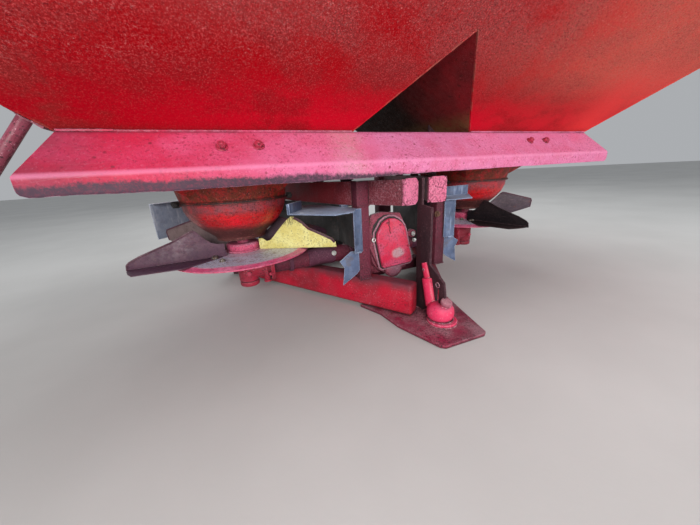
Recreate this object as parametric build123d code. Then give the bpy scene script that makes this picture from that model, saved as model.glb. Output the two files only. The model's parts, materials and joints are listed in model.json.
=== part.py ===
from build123d import *
import os
from math import cos, sin, radians, hypot, sqrt

# Twin-disc fertilizer spreader for a tractor's three-point linkage, standing
# parked on its own base frame.  Millimetres.
#
# Axes: +X is the machine's right as seen from behind, +Y is the direction of
# travel, +Z is up.  All heights below are measured from the lower rear edge of
# the hopper (the top edge of the apron); GROUND is how far the ground lies
# below it.  The model is shifted once, at the end, so that its origin is on the
# ground under the middle of its outline.

os.makedirs("parts", exist_ok=True)

# ---------------------------------------------------------------- main sizes
GROUND = 630.0          # apron top edge above the ground
T = 3.0                 # sheet of the hopper and funnels

# hopper: lower edge, slopes (run per unit of height) and heights
HX = 900.0              # half width at the lower edge
KX = 1.1672             # side wall slope
KR = 1.2266             # rear wall slope
FY, KF = 613.0, 0.693   # front wall: place at the lower edge, slope
RX, KI = 229.0, 1.23    # half width of the ridge notch, its slope
ZS = 300.0              # top of the sloping part
ZT = 552.0              # top of the upright part
RIM_W, RIM_H = 18.0, 34.0

# outlets: cups and discs
DX, DY = 572.5, 328.0   # disc centre
Z_SEAM = -184.0         # joint between upper ring and bowl
R_SEAM = 181.5
Z_DISC = -379.0         # flat top of the disc
R_DISC = 251.0

# apron
AX0, AX1 = 900.0, 957.0
A_Y, A_Z1, A_Z2, A_T = -82.0, -88.0, -128.0, 4.0

# frame
UB = dict(z0=-225.0, z1=-144.0)                                         # upper beams, plan in UB_PLAN
LB = dict(x0=59.0, y0=-100.0, ang=32.1, w=60.0, cut=20.0, z0=-618.0, z1=-500.0)  # lower V beams
POST = dict(x0=150.0, x1=196.0, y0=61.0, y1=107.0)
# plan of an upper beam, right side: x, y.  It starts behind its end plate,
# is notched round the side post and runs forward to the headstock.
UB_PLAN = [(23.7, -38.2), (88.7, -52.8), (149.8, 61.0), (149.8, 107.2), (197.0, 107.2), (221.0, 158.0),
           (383.4, 792.0), (331.0, 792.0), (150.0, 145.0), (108.0, 95.0)]
CAP_A, CAP_B = (22.0, -46.0), (84.5, -60.0)   # ends of the beam's end plate, in plan
PLATE_T = 8.0                           # upright plate on the middle plane, rear
Y_CROSS0, Y_CROSS1 = 775.0, 855.0       # lower cross-beam
Y_UP0, Y_UP1 = 792.0, 852.0             # headstock uprights
X_UP0, X_UP1 = 300.0, 380.0
Z_PIN = -300.0                          # lower-link pins
Y_PIN = 915.0
R_PIN = 14.0                            # category 2 lower-link pin
Z_TOPLINK = Z_PIN + 610.0
R_TOPLINK = 12.75                       # category 2 top-link bore
Z_DRIVE = -460.0                        # drive line height


# ---------------------------------------------------------------- helpers
def prism(pts, axis, lo, hi):
    """Polygon in the plane across axis, extruded along it from lo to hi."""
    if axis == "x":
        v, d = [(lo, a, b) for a, b in pts], (1, 0, 0)
    elif axis == "y":
        v, d = [(a, lo, b) for a, b in pts], (0, 1, 0)
    else:
        v, d = [(a, b, lo) for a, b in pts], (0, 0, 1)
    f = Face(Wire.make_polygon([Vector(*p) for p in v], close=True))
    return Solid.extrude(f, Vector(*d) * (hi - lo))


def box(x0, x1, y0, y1, z0, z1):
    return Pos((x0 + x1) / 2, (y0 + y1) / 2, (z0 + z1) / 2) * Box(abs(x1 - x0), abs(y1 - y0), abs(z1 - z0))


def rod(p, q, r, r2=None):
    """Round bar (or cone) from p to q."""
    p, q = Vector(*p), Vector(*q)
    d = q - p
    pl = Plane(origin=p, z_dir=d.normalized())
    s = Cylinder(r, d.length, align=(Align.CENTER, Align.CENTER, Align.MIN)) if r2 is None else \
        Cone(r, r2, d.length, align=(Align.CENTER, Align.CENTER, Align.MIN))
    return pl * s


def tube(p, q, r, wall):
    return rod(p, q, r) - rod(p, q, r - wall)


def turned(pts, cx, cy):
    """Solid of revolution about the upright line through cx, cy; pts are (r, z)."""
    f = Face(Wire.make_polygon([Vector(r, 0, z) for r, z in pts], close=True))
    return Pos(cx, cy, 0) * Solid.revolve(f, 360, Axis.Z)


def mirror_x(s):
    return mirror(s, about=Plane.YZ)


parts = {}


def add(name, shape):
    parts[name] = shape


SIDES = (("left", -1), ("right", 1))


def sided(name, maker):
    """maker() gives the right-hand piece; the left one is its mirror image."""
    for side, s in SIDES:
        p = maker()
        add(f"{name}_{side}", p if s > 0 else mirror_x(p))


# ---------------------------------------------------------------- hopper
def hopper_profiles(d, z_low, z_high):
    """YZ and XZ outlines, moved inwards by d (sheet thickness)."""
    dx, dr, df, di = (d * sqrt(1 + k * k) for k in (KX, KR, KF, KI))
    yz = [(-KR * z_low + dr, z_low), (FY + KF * z_low - df, z_low),
          (FY + KF * ZS - df, ZS), (FY + KF * ZS - d, z_high),
          (-KR * ZS + d, z_high), (-KR * ZS + dr, ZS)]
    # keep the upright walls truly upright
    yz[2] = (FY + KF * ZS - d, ZS + (df - d) / KF)
    yz[5] = (-KR * ZS + d, ZS + (dr - d) / KR)
    zx = ZS + (dx - d) / KX
    apex = RX / KI + di / KI
    rx = RX - KI * z_low + di
    xz = [(-(HX + KX * z_low) + dx, z_low), (-rx, z_low), (0, apex), (rx, z_low),
          (HX + KX * z_low - dx, z_low), (HX + KX * ZS - d, zx), (HX + KX * ZS - d, z_high),
          (-(HX + KX * ZS) + d, z_high), (-(HX + KX * ZS) + d, zx)]
    return yz, xz


W2, Y_REAR, Y_FRONT = HX + KX * ZS, -KR * ZS, FY + KF * ZS

yz_o, xz_o = hopper_profiles(0, 0, ZT)
yz_i, xz_i = hopper_profiles(T, 0, ZT + 50)
outer = prism(yz_o, "x", -1400, 1400) & prism(xz_o, "y", -500, 1000)
inner = prism(yz_i, "x", -1400, 1400) & prism(xz_i, "y", -500, 1000)
shell = outer - inner
slab = prism(yz_i, "x", -1400, 1400)
ends = sorted((shell - slab).solids(), key=lambda s: s.center().Y)
mids = sorted((shell & slab).solids(), key=lambda s: s.center().X)
add("hopper_rear_wall", ends[0])
add("hopper_front_wall", ends[-1])
add("hopper_left_wall", mids[0])
add("hopper_saddle", mids[1])
add("hopper_right_wall", mids[-1])

rim = box(-W2 - RIM_W, W2 + RIM_W, Y_REAR - RIM_W, Y_FRONT + RIM_W, ZT - RIM_H, ZT) \
    - box(-W2, W2, Y_REAR, Y_FRONT, ZT - 100, ZT + 10)
add("hopper_rim", rim)

# funnels: the same slopes carried on down, cut by the round upper ring
Z_F = -176.0
ring_out = [(0, -240.0), (R_SEAM - 0.5, -240.0), (R_SEAM, Z_SEAM), (R_SEAM + 22, -80.0), (0, -80.0)]
ring_in = [(0, -240.0), (R_SEAM - 4.5, -240.0), (R_SEAM - 4, Z_SEAM), (R_SEAM + 18, -80.0), (0, -80.0)]


def funnel_solid(d):
    dx, dr, df, di = (d * sqrt(1 + k * k) for k in (KX, KR, KF, KI))
    zl = Z_F if d == 0 else Z_F - 20
    zh = 0 if d == 0 else 20
    yz = [(-KR * zl + dr, zl), (FY + KF * zl - df, zl), (FY + KF * zh - df, zh), (-KR * zh + dr, zh)]
    xz = [(RX - KI * zl + di, zl), (HX + KX * zl - dx, zl), (HX + KX * zh - dx, zh), (RX - KI * zh + di, zh)]
    return prism(yz, "x", 0, 1400) & prism(xz, "y", -500, 1000)


funnel_o, funnel_i = funnel_solid(0), funnel_solid(T)
cone_o, cone_i = turned(ring_out, DX, DY), turned(ring_in, DX, DY)


funnel_mirror = mirror_x(funnel_o)


def biggest(s):
    return max(s.solids(), key=lambda q: q.volume)


sided("funnel", lambda: biggest((funnel_o - funnel_i) - cone_o))
# upper ring: conical wall from the seam up to the funnel
ring = (cone_o - cone_i) & box(DX - 400, DX + 400, DY - 400, DY + 400, Z_SEAM, -79.0)
ring = ring - funnel_i
sided("cup_ring", lambda: biggest(ring - (funnel_o - funnel_i)) + turned(
    [(R_SEAM - 4, Z_SEAM), (R_SEAM + 6, Z_SEAM), (R_SEAM + 6, Z_SEAM + 4), (R_SEAM - 3.8, Z_SEAM + 4)], DX, DY))

# bowl below the seam: (r, z) of its outside
BOWL = [(R_SEAM + 6, Z_SEAM), (R_SEAM + 6, Z_SEAM - 4), (180, Z_SEAM - 4), (177, -212), (166, -238), (148, -262),
        (124, -286), (101, -304), (90, -315), (88, -324)]
bowl_in = [(r - 4 if i < 6 else r - 3.5, z + (0 if i < 6 else 4)) for i, (r, z) in enumerate(BOWL[2:])]
bowl = turned(BOWL + [(34, -324), (34, -320)] + [(84, -320)] + list(reversed(bowl_in[:-1])) + [(R_SEAM - 5, Z_SEAM)], DX, DY)
# outlet: a window low in the bowl's front quarter, over the inner vane ends
outlet = Pos(DX, DY, 0) * Rot(0, 0, 118) * box(60, 150, -42, 42, -312, -272)
sided("cup_bowl", lambda: bowl - outlet)

# ---------------------------------------------------------------- apron
apron = prism([(-2, -1), (A_Y, A_Z1), (A_Y + 3, A_Z2), (A_Y + 3 + A_T, A_Z2), (A_Y + 1.6 + A_T, A_Z1 + 1.2),
               (-2 + 2.6, -1 - 2.6)], "x", -1000, 1000)
for s in (-1, 1):
    cut = prism([(s * (AX0), 0), (s * AX1, A_Z1), (s * (AX1 + 2), A_Z2 - 20), (s * 1100, A_Z2 - 20), (s * 1100, 30),
                 (s * (AX0 - 19), 30)], "y", -200, 100)
    apron = apron - cut
add("apron", apron)
# brackets between the funnels' rear faces and the apron
brackets = [prism([(3.0, -5.5), (-73.5, -86.5), (-73.5, -106), (-30, -92), (76, -62.6)], "x", x, x + 6)
            for x in (-594, -507, 501, 588)]
add("apron_brackets", Compound(children=brackets))

# ---------------------------------------------------------------- discs
def disc():
    pts = [(0, Z_DISC), (225, Z_DISC), (R_DISC, Z_DISC - 6), (R_DISC, Z_DISC - 10), (223, Z_DISC - 4.5),
           (40, Z_DISC - 4.5), (40, Z_DISC - 12), (0, Z_DISC - 12)]
    return turned(pts, DX, DY)


def hub():
    # collar on the disc, shaft up into the bowl, shaft down into the gearbox
    pts = [(17.5, Z_DISC), (62, Z_DISC), (62, Z_DISC + 26), (56, Z_DISC + 32), (22, Z_DISC + 32), (22, -311),
           (38, -305), (38, -293), (16, -287), (16, -262), (0, -262), (0, Z_DISC)]
    h = turned(pts, DX, DY)
    # agitator finger
    h = h + Pos(DX, DY, 0) * box(-8, 92, -8, 8, -286, -272)
    return h


def spindle():
    return turned([(0, Z_DISC - 12), (17.5, Z_DISC - 12), (17.5, -440), (0, -440)], DX, DY)


sided("disc", lambda: disc() + spindle())
sided("hub", lambda: hub())

# vanes.  Each has an upright web (r, z outline) and a flange on the disc.
# Angles are measured on the left disc; the right disc carries their mirror
# images, turned by PHASE_RIGHT to where it stopped.
LOW = [(66, Z_DISC + 3), (66, -337), (82, -336), (98, -349), (115, -344), (150, -307), (180, -276), (208, -257), (228, -264),
       (250, -279), (269, -300), (331, -330), (355, -343), (368, -357), (371, Z_DISC), (230, Z_DISC), (66, Z_DISC)]
SWEPT = [(66, Z_DISC + 3), (66, -332), (87, -331), (125, -308), (155, -272), (228, -303), (325, -336), (366, -358), (369, -379),
         (66, -379)]
HIGH = [(66, Z_DISC + 3), (66, -345), (96, -345), (205, -256), (368, -300), (370, -347), (243, -379), (66, -379)]
VANES = (
    # kind, angle left, angle right, web offset, web outline, flange outline (along, across from the web)
    ("clean", 330.0, 330.0, 0.0, LOW, [(66, 0), (362, 0), (356, 32), (90, 26), (66, 20)]),
    ("swept", 180.0, 180.0, 70.0, SWEPT, [(80, 0), (368, 0), (338, 86), (208, 80), (80, 14)]),
    ("swept", 0.0, 0.0, 70.0, SWEPT, [(80, 0), (368, 0), (338, 86), (208, 80), (80, 14)]),
    ("high", 141.0, 118.0, 0.0, HIGH, [(68, 0), (242, 0), (238, 34), (90, 26), (68, 20)]),
)
TV = 3.0


def vane(angle, off, outline, flange):
    web = prism([(r, max(z, Z_DISC)) for r, z in outline], "y", off - TV, off)
    foot = prism([(a, off + (b if b else -TV)) for a, b in flange], "z", Z_DISC, Z_DISC + TV)
    v = web + foot
    return Pos(-DX, DY, 0) * Rot(0, 0, angle) * v


PHASE_RIGHT = -82.0


def right_of(v):
    """The same vane on the right disc: mirrored, then turned to where it stopped."""
    m = mirror_x(v)
    return Pos(DX, DY, 0) * Rot(0, 0, PHASE_RIGHT) * Pos(-DX, -DY, 0) * m


left = {"clean": [], "other": []}
for kind, ang, _, off, outline, fl in VANES:
    left["clean" if kind == "clean" else "other"].append(vane(ang, off, outline, fl))
add("vane_left_clean", left["clean"][0])
add("vanes_left", Compound(children=left["other"]))
add("vanes_right", Compound(children=[right_of(vane(a, o, l, f)) for _, _, a, o, l, f in VANES]))

# ---------------------------------------------------------------- drive line
def gearbox():
    g = turned([(0, -530), (28, -530), (30, -520), (30, -511), (38, -504), (38, -398), (0, -398)], DX, DY)
    g = g + rod((DX, DY, -400.5), (DX, DY, -396), 60)
    g = g + rod((DX, DY, Z_DRIVE), (DX - 92, DY, Z_DRIVE), 41)
    g = g + rod((DX - 84, DY, Z_DRIVE), (DX - 98, DY, Z_DRIVE), 62)
    g = g + rod((DX - 68, DY - 30, -516), (DX - 68, DY - 30, -440), 12)
    g = g - rod((DX, DY, -445), (DX, DY, -380), 17.55)
    return g


sided("gearbox", gearbox)
sided("drive_tube", lambda: rod((108, DY, Z_DRIVE), (DX - 98, DY, Z_DRIVE), 37))

casing = box(-108, 108, 210, 440, -545, -345) + rod((0, 166, -445), (0, 211, -445), 92)
casing = casing + rod((8, 152, -514), (8, 211, -514), 43) - box(-200, 200, 140, 166, -505, -200)
add("gearbox_centre", casing)

# arch-shaped cover on the rear of the centre gearbox, turned 10 degrees
R_ARCH, L_ARCH, A_ROT = 77.0, 118.0, 10.0


def arch(r, l, y0, y1):
    a = rod((0, y0, 0), (0, y1, 0), r) + box(-r, r, y0, y1, -l, 0)
    return Pos(-5, 0, -378) * Rot(0, -A_ROT, 0) * a


add("gearbox_cover", arch(R_ARCH, L_ARCH, 128, 146))
# flat-topped housing plate behind the cover, with two bolt ears
HOUSING = [(-104, -288), (-92, -276), (-54, -269), (34, -280), (47, -305), (96, -470), (88, -505), (-66, -505), (-112, -400)]
EARS = ((-97, -376), (99, -375))
housing = prism(HOUSING, "y", 146, 166)
for x, z in EARS:
    housing = housing + rod((x, 146, z), (x, 166, z), 17)
housing = housing + box(60, 99, 146, 166, -386, -364)
add("gearbox_plate", housing)
# power take-off stub and its guard
stub = rod((0, 446, -445), (0, 560, -445), 17.45) + rod((0, 441, -445), (0, 452, -445), 30)
add("input_shaft", stub)
guard_cone = tube((0, 440.5, -445), (0, 448, -445), 92, 52) + tube((0, 447, -445), (0, 585, -445), 92, 4)
add("input_guard", guard_cone)

# ---------------------------------------------------------------- frame
def lower_beam():
    """One beam of the lower V: outer face from (x0, y0) at ang from +Y, rear end cut square, front end at the cross-beam."""
    a = radians(LB["ang"])
    dx, dy, w = sin(a), cos(a), LB["w"]
    ax, ay = LB["x0"] + LB["cut"] * dx, LB["y0"] + LB["cut"] * dy
    bx, by = ax - w * dy, ay + w * dx
    at = lambda x, y: (x + (Y_CROSS0 - y) * dx / dy, Y_CROSS0)
    return prism([(ax, ay), at(ax, ay), at(bx, by), (bx, by)], "z", LB["z0"], LB["z1"])


def lower_inner_x(y):
    """Inner face of the right-hand lower beam at y."""
    a = radians(LB["ang"])
    return LB["x0"] + (y - LB["y0"]) * sin(a) / cos(a) - LB["w"] / cos(a)


def upper_beam():
    s = prism(UB_PLAN, "z", UB["z0"], UB["z1"])
    # end plate with cut corners
    (xa, ya), (xb, yb) = CAP_A, CAP_B
    L = hypot(xb - xa, yb - ya)
    h, c = UB["z1"] + 3 - (UB["z0"] - 1), 12.0
    uv = [(c, 0), (L - c, 0), (L, c), (L, h - c), (L - c, h), (c, h), (0, h - c), (0, c)]
    pl = Plane(origin=(xa, ya, UB["z0"] - 1), x_dir=(xb - xa, yb - ya, 0), z_dir=(yb - ya, -(xb - xa), 0))
    f = Face(Wire.make_polygon([Vector(u, v, 0) for u, v in uv], close=True))
    cap = pl * (Pos(0, 0, -8.0) * Solid.extrude(f, Vector(0, 0, 8.0)))
    return s + cap


sided("lower_beam", lower_beam)
sided("upper_beam", upper_beam)
side_post = box(POST["x0"], POST["x1"], POST["y0"], POST["y1"], LB["z1"], UB["z1"])
add("side_posts", Compound(children=[side_post, mirror_x(side_post)]))
# cross-bar under the centre gearbox
CR_Y0, CR_Y1 = 300.0, 350.0
add("gearbox_cradle", prism([(-lower_inner_x(CR_Y0), CR_Y0), (lower_inner_x(CR_Y0), CR_Y0), (lower_inner_x(CR_Y1), CR_Y1),
                             (-lower_inner_x(CR_Y1), CR_Y1)], "z", -600, -545))


# brackets between the upper beams and the hopper's underside
def beam_x(y):
    """Outer face of the right-hand upper beam at y, forward of the side post."""
    (x0, y0), (x1, y1), (x2, y2) = UB_PLAN[4:7]
    return x0 + (y - y0) * (x1 - x0) / (y1 - y0) if y < y1 else x1 + (y - y1) * (x2 - x1) / (y2 - y1)


zf = lambda x: -(x - RX) / KI
seats = []
for y in (150, 330, 540):
    xa, xb = beam_x(y) - 46, beam_x(y) - 3
    seats.append(prism([(xa, UB["z1"]), (xb, UB["z1"]), (xb, zf(xb)), (xa, zf(xa))], "y", y, y + 8))
front = prism([(FY + KF * 110, 110), (Y_UP0, 110), (Y_UP0, 250), (FY + KF * 250, 250)], "x", 332, 340)
allb = seats + [front]
add("hopper_brackets", Compound(children=allb + [mirror_x(s) for s in allb]))

# base plate under the V's point
plate = [(-94, -264), (-80, -276), (68, -281), (82, -273), (129, -108), (150, -40), (186, 96), (-186, 96), (-150, 0),
         (-141, -108)]
add("foot_plate", prism(plate, "z", -GROUND, LB["z0"]))

# towing socket on the plate: ring, leaning cup, tube with a slimmer neck, and a
# knob on the cup's rear
RING_C, CUP_C = (4.0, -158.0), (2.0, -151.0)
TUBE_LOW, TUBE_TOP, NECK_TOP = (1.0, -112.0, -575.0), (0.0, -86.0, -480.0), (0.0, -68.0, -434.0)
CUP = [(0, -612), (32, -612), (40, -604), (44.5, -592), (45.5, -580), (44.5, -570), (38, -558), (24, -551), (0, -550)]   # r, z
sock = rod((*RING_C, LB["z0"]), (*RING_C, LB["z0"] + 9), 50) + turned(CUP, *CUP_C)
sock = sock + rod(TUBE_LOW, TUBE_TOP, 21.5) + rod(TUBE_TOP, NECK_TOP, 11.0)
sock = sock + rod((1, -160, -578), (0, -178, -541), 15.0) + rod((0, -176.5, -544), (0, -184, -530), 19.5)
add("tow_socket", biggest(sock))
# upright plate on the middle plane: it joins the upper beams' ends, carries the
# towing socket and stands on the base plate.  Outline y, z.
MID_PLATE = [(-20, UB["z1"]), (-44, UB["z1"]), (-44, -230), (-94, -236), (-94, -428), (-103, -433), (-166, -474), (-174, -512),
             (-174, -546), (-60, LB["z0"]), (-20, LB["z0"])]
mid = prism(MID_PLATE, "x", -PLATE_T / 2, PLATE_T / 2)
mid = mid - prism([(-132, -504), (-146, -504), (-146, -590), (-132, -590)], "x", -20, 20)
mid = mid - rod((-20, -139, -489), (20, -139, -489), 7.0)
add("centre_plate", biggest(mid - sock))

# front: cross-beam, feet, headstock with link pins
add("front_beam", box(-640, 640, Y_CROSS0, Y_CROSS1, LB["z0"], LB["z1"]))
add("front_feet", Compound(children=[box(s * 560 - 50, s * 560 + 50, Y_CROSS0, Y_CROSS1, -GROUND, LB["z0"]) for s in (-1, 1)]))


def upright():
    u = box(X_UP0, X_UP1, Y_UP0, Y_UP1, LB["z1"], 190)
    return u


sided("upright", upright)
head = box(-X_UP1, X_UP1, Y_UP0, Y_UP1, 190, 250)
for s in (-1, 1):
    x0, x1 = (26, 38) if s > 0 else (-38, -26)
    head = head + prism([(Y_UP1, 192), (Y_UP1, 335), (Y_PIN, 345), (Y_PIN + 32, 330), (Y_PIN + 32, 285), (Y_PIN - 10, 230)],
                        "x", x0, x1)
head = head + box(-60, 60, Y_UP1 - 12, Y_UP1, 190, 335)
head = head - rod((-60, Y_PIN, Z_TOPLINK), (60, Y_PIN, Z_TOPLINK), R_TOPLINK)
add("headstock_top", head)


def link_ear():
    e = prism([(Y_UP0 + 8, -380), (Y_UP0 + 8, -220), (Y_UP1 + 30, -225), (Y_PIN + 38, -270), (Y_PIN + 38, -330),
               (Y_UP1 + 30, -375)], "x", X_UP1, X_UP1 + 15)
    p = rod((X_UP1 + 15, Y_PIN, Z_PIN), (X_UP1 + 105, Y_PIN, Z_PIN), R_PIN)
    c = rod((X_UP1 + 15, Y_PIN, Z_PIN), (X_UP1 + 19, Y_PIN, Z_PIN), 26)
    return e + p + c


sided("link_pin", link_ear)

# ---------------------------------------------------------------- guards
Z_SHELF = -236.0
# plan of the flat shelf below the upper beam, as on the right-hand side
SHELF = {
    "left": [(421, 102), (312, -25), (238, -6), (206.5, 58), (199, 60), (199, 112), (250, 300), (318, 345), (354, 205)],
    "right": [(391, 135), (280, 10), (166, 30), (166, 57), (199, 57), (199, 112), (250, 300), (318, 345), (356, 215)],
}


def guard(side):
    z = Z_SHELF
    g = prism(SHELF[side], "z", z, z + 3)
    g = g + box(200, 226, 130, 156, z + 3, UB["z0"])                       # spacer to the beam
    if side == "left":                                                     # outer end turned up
        g = g + (prism([(421, 102), (429, 106), (362, 209), (354, 205)], "z", z, z + 36)
                 & prism([(-400, z), (500, z), (500, z + 36), (-400, z + 22)], "y", 90, 220))
    else:                                                                  # upright plate on the shelf
        g = g + box(262, 396, 148, 151, z, z + 42)
    # strip down the side post, set at a slant, and the flap below it
    g = g + prism([(222, 36), (184, 54), (185.3, 56.7), (223.3, 38.7)], "z", -387, z + 3)
    g = g + box(186, 199, 50, 61, z, z + 3) + box(196.5, 223, 38, 65, -387, -384)
    g = g + box(187, 195, 52, 61, -303, -287)
    g = g + prism([(196.5, -384), (228, -384), (273, -414), (256, -440), (265, -506), (209, -473), (196.5, -460)], "y", 62, 65)
    return g


for side, sg in SIDES:
    add(f"guard_{side}", guard(side) if sg > 0 else mirror_x(guard(side)))

# front guard: folded sheet round the front of the vane circle
FG = [(905, 596), (770, 742), (375, 742), (150, 375), (150, 160)]   # plan corners, right side
FG_Z = [(-345, -193), (-345, -232), (-415, -232), (-415, -232)]      # lower and upper edge of each panel


def front_guard():
    pieces = []
    for i in range(len(FG) - 1):
        (xa, ya), (xb, yb) = FG[i], FG[i + 1]
        L = hypot(xb - xa, yb - ya)
        nx, ny = -(yb - ya) / L, (xb - xa) / L          # towards the disc or away, same side all along
        q = [(xa, ya), (xb, yb), (xb + nx * 3, yb + ny * 3), (xa + nx * 3, ya + ny * 3)]
        z0, z1 = FG_Z[i]
        pieces.append(prism(q, "z", z0, z1))
        w = 24.0
        q = [(xa, ya), (xb, yb), (xb + nx * w, yb + ny * w), (xa + nx * w, ya + ny * w)]
        pieces.append(prism(q, "z", z1 - 3, z1))
    g = pieces[0]
    for p in pieces[1:]:
        g = g + p
    # hangers under the upper beam
    return g + box(332, 366, 718, 742, -235, UB["z0"]) + box(150, 188, 172, 190, -235, UB["z0"])


sided("front_guard", front_guard)

# arm on the left wall, near its rear edge: a tube on a pad, with a flange at its
# free end
ARM_R, ARM_TOP, ARM_LOW = 12.0, (-920.0, 45.5), (-1078.0, -147.5)      # x, z
xw = lambda z: -(HX + KX * z)
arm = rod((ARM_TOP[0], 0, ARM_TOP[1]), (ARM_LOW[0], 0, ARM_LOW[1]), ARM_R)
arm = arm + prism([(xw(8), 8), (xw(70), 70), (xw(70) - 6, 70 - 5), (xw(8) - 6, 8 - 5)], "y", -8, 56)
arm = arm + box(-1086, -1078, -45, 45, -198, -98)
add("side_arm", biggest(arm - outer - funnel_mirror))

# ---------------------------------------------------------------- write
lo = [1e9] * 3
hi = [-1e9] * 3
for n, s in parts.items():
    bb = s.bounding_box()
    lo = [min(a, b) for a, b in zip(lo, tuple(bb.min))]
    hi = [max(a, b) for a, b in zip(hi, tuple(bb.max))]
Y_MID = (lo[1] + hi[1]) / 2
print("raw box", [round(v, 2) for v in lo], [round(v, 2) for v in hi], "y mid", round(Y_MID, 3))
for n, s in parts.items():
    out = Pos(0, -Y_MID, GROUND) * s
    export_step(out, f"parts/{n}.step")
print(len(parts), "parts")
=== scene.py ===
import bpy, bmesh, json, math, random
from math import radians, sin, cos, pi, atan2, hypot
from mathutils import Vector, Matrix, noise

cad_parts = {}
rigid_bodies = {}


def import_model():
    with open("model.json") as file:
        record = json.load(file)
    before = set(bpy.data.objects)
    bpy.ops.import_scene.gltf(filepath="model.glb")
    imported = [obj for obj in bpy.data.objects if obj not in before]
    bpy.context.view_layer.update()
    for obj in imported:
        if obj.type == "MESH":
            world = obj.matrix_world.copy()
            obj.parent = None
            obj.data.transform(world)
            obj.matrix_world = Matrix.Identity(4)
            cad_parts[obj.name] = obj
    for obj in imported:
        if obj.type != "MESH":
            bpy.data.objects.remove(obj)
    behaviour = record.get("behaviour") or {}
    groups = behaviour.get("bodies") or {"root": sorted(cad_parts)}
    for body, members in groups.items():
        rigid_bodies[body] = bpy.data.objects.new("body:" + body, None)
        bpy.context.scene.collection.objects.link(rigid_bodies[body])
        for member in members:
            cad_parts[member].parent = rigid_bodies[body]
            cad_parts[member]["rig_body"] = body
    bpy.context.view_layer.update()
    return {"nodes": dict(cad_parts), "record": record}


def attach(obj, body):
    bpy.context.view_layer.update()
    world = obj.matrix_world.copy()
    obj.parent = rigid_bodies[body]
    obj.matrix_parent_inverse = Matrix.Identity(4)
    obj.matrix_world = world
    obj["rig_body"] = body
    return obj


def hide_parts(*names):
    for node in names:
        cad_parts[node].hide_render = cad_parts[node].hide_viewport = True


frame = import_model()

scene = bpy.context.scene
random.seed(7)

Y_MID, GROUND = 283.51, 630.0


def R(x, y, z):
    """Millimetres from the hopper's lower rear edge to metres in the frame."""
    return Vector((x / 1000, (y - Y_MID) / 1000, (z + GROUND) / 1000))


# ------------------------------------------------------------------ camera
CAM_YAW, CAM_PITCH, CAM_ROLL = 0.3964, 0.3153, -0.0573
CAM_AT = Vector((-0.5996, -1.0946, 0.5157))
F_PX, W_PX = 275.0, 700.0


def camera():
    cy, sy, cp, sp = cos(CAM_YAW), sin(CAM_YAW), cos(CAM_PITCH), sin(CAM_PITCH)
    fwd_h, up = Vector((sy, cy, 0)), Vector((0, 0, 1))
    right = Vector((cy, -sy, 0))
    fwd = fwd_h * cp - up * sp
    upc = fwd_h * sp + up * cp
    r = right * cos(CAM_ROLL) + upc * sin(CAM_ROLL)
    u = -right * sin(CAM_ROLL) + upc * cos(CAM_ROLL)
    cam = bpy.data.cameras.new("camera")
    cam.sensor_fit = "HORIZONTAL"
    cam.sensor_width = 36.0
    cam.lens = 36.0 * F_PX / W_PX
    cam.clip_start, cam.clip_end = 0.02, 200.0
    o = bpy.data.objects.new("camera", cam)
    m = Matrix((r, u, -fwd)).transposed().to_4x4()
    m.translation = CAM_AT
    o.matrix_world = m
    scene.collection.objects.link(o)
    scene.camera = o


camera()
scene.view_settings.view_transform = "Standard"
scene.view_settings.look = "None"
scene.view_settings.exposure = 0.0
scene.view_settings.gamma = 1.0


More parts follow.
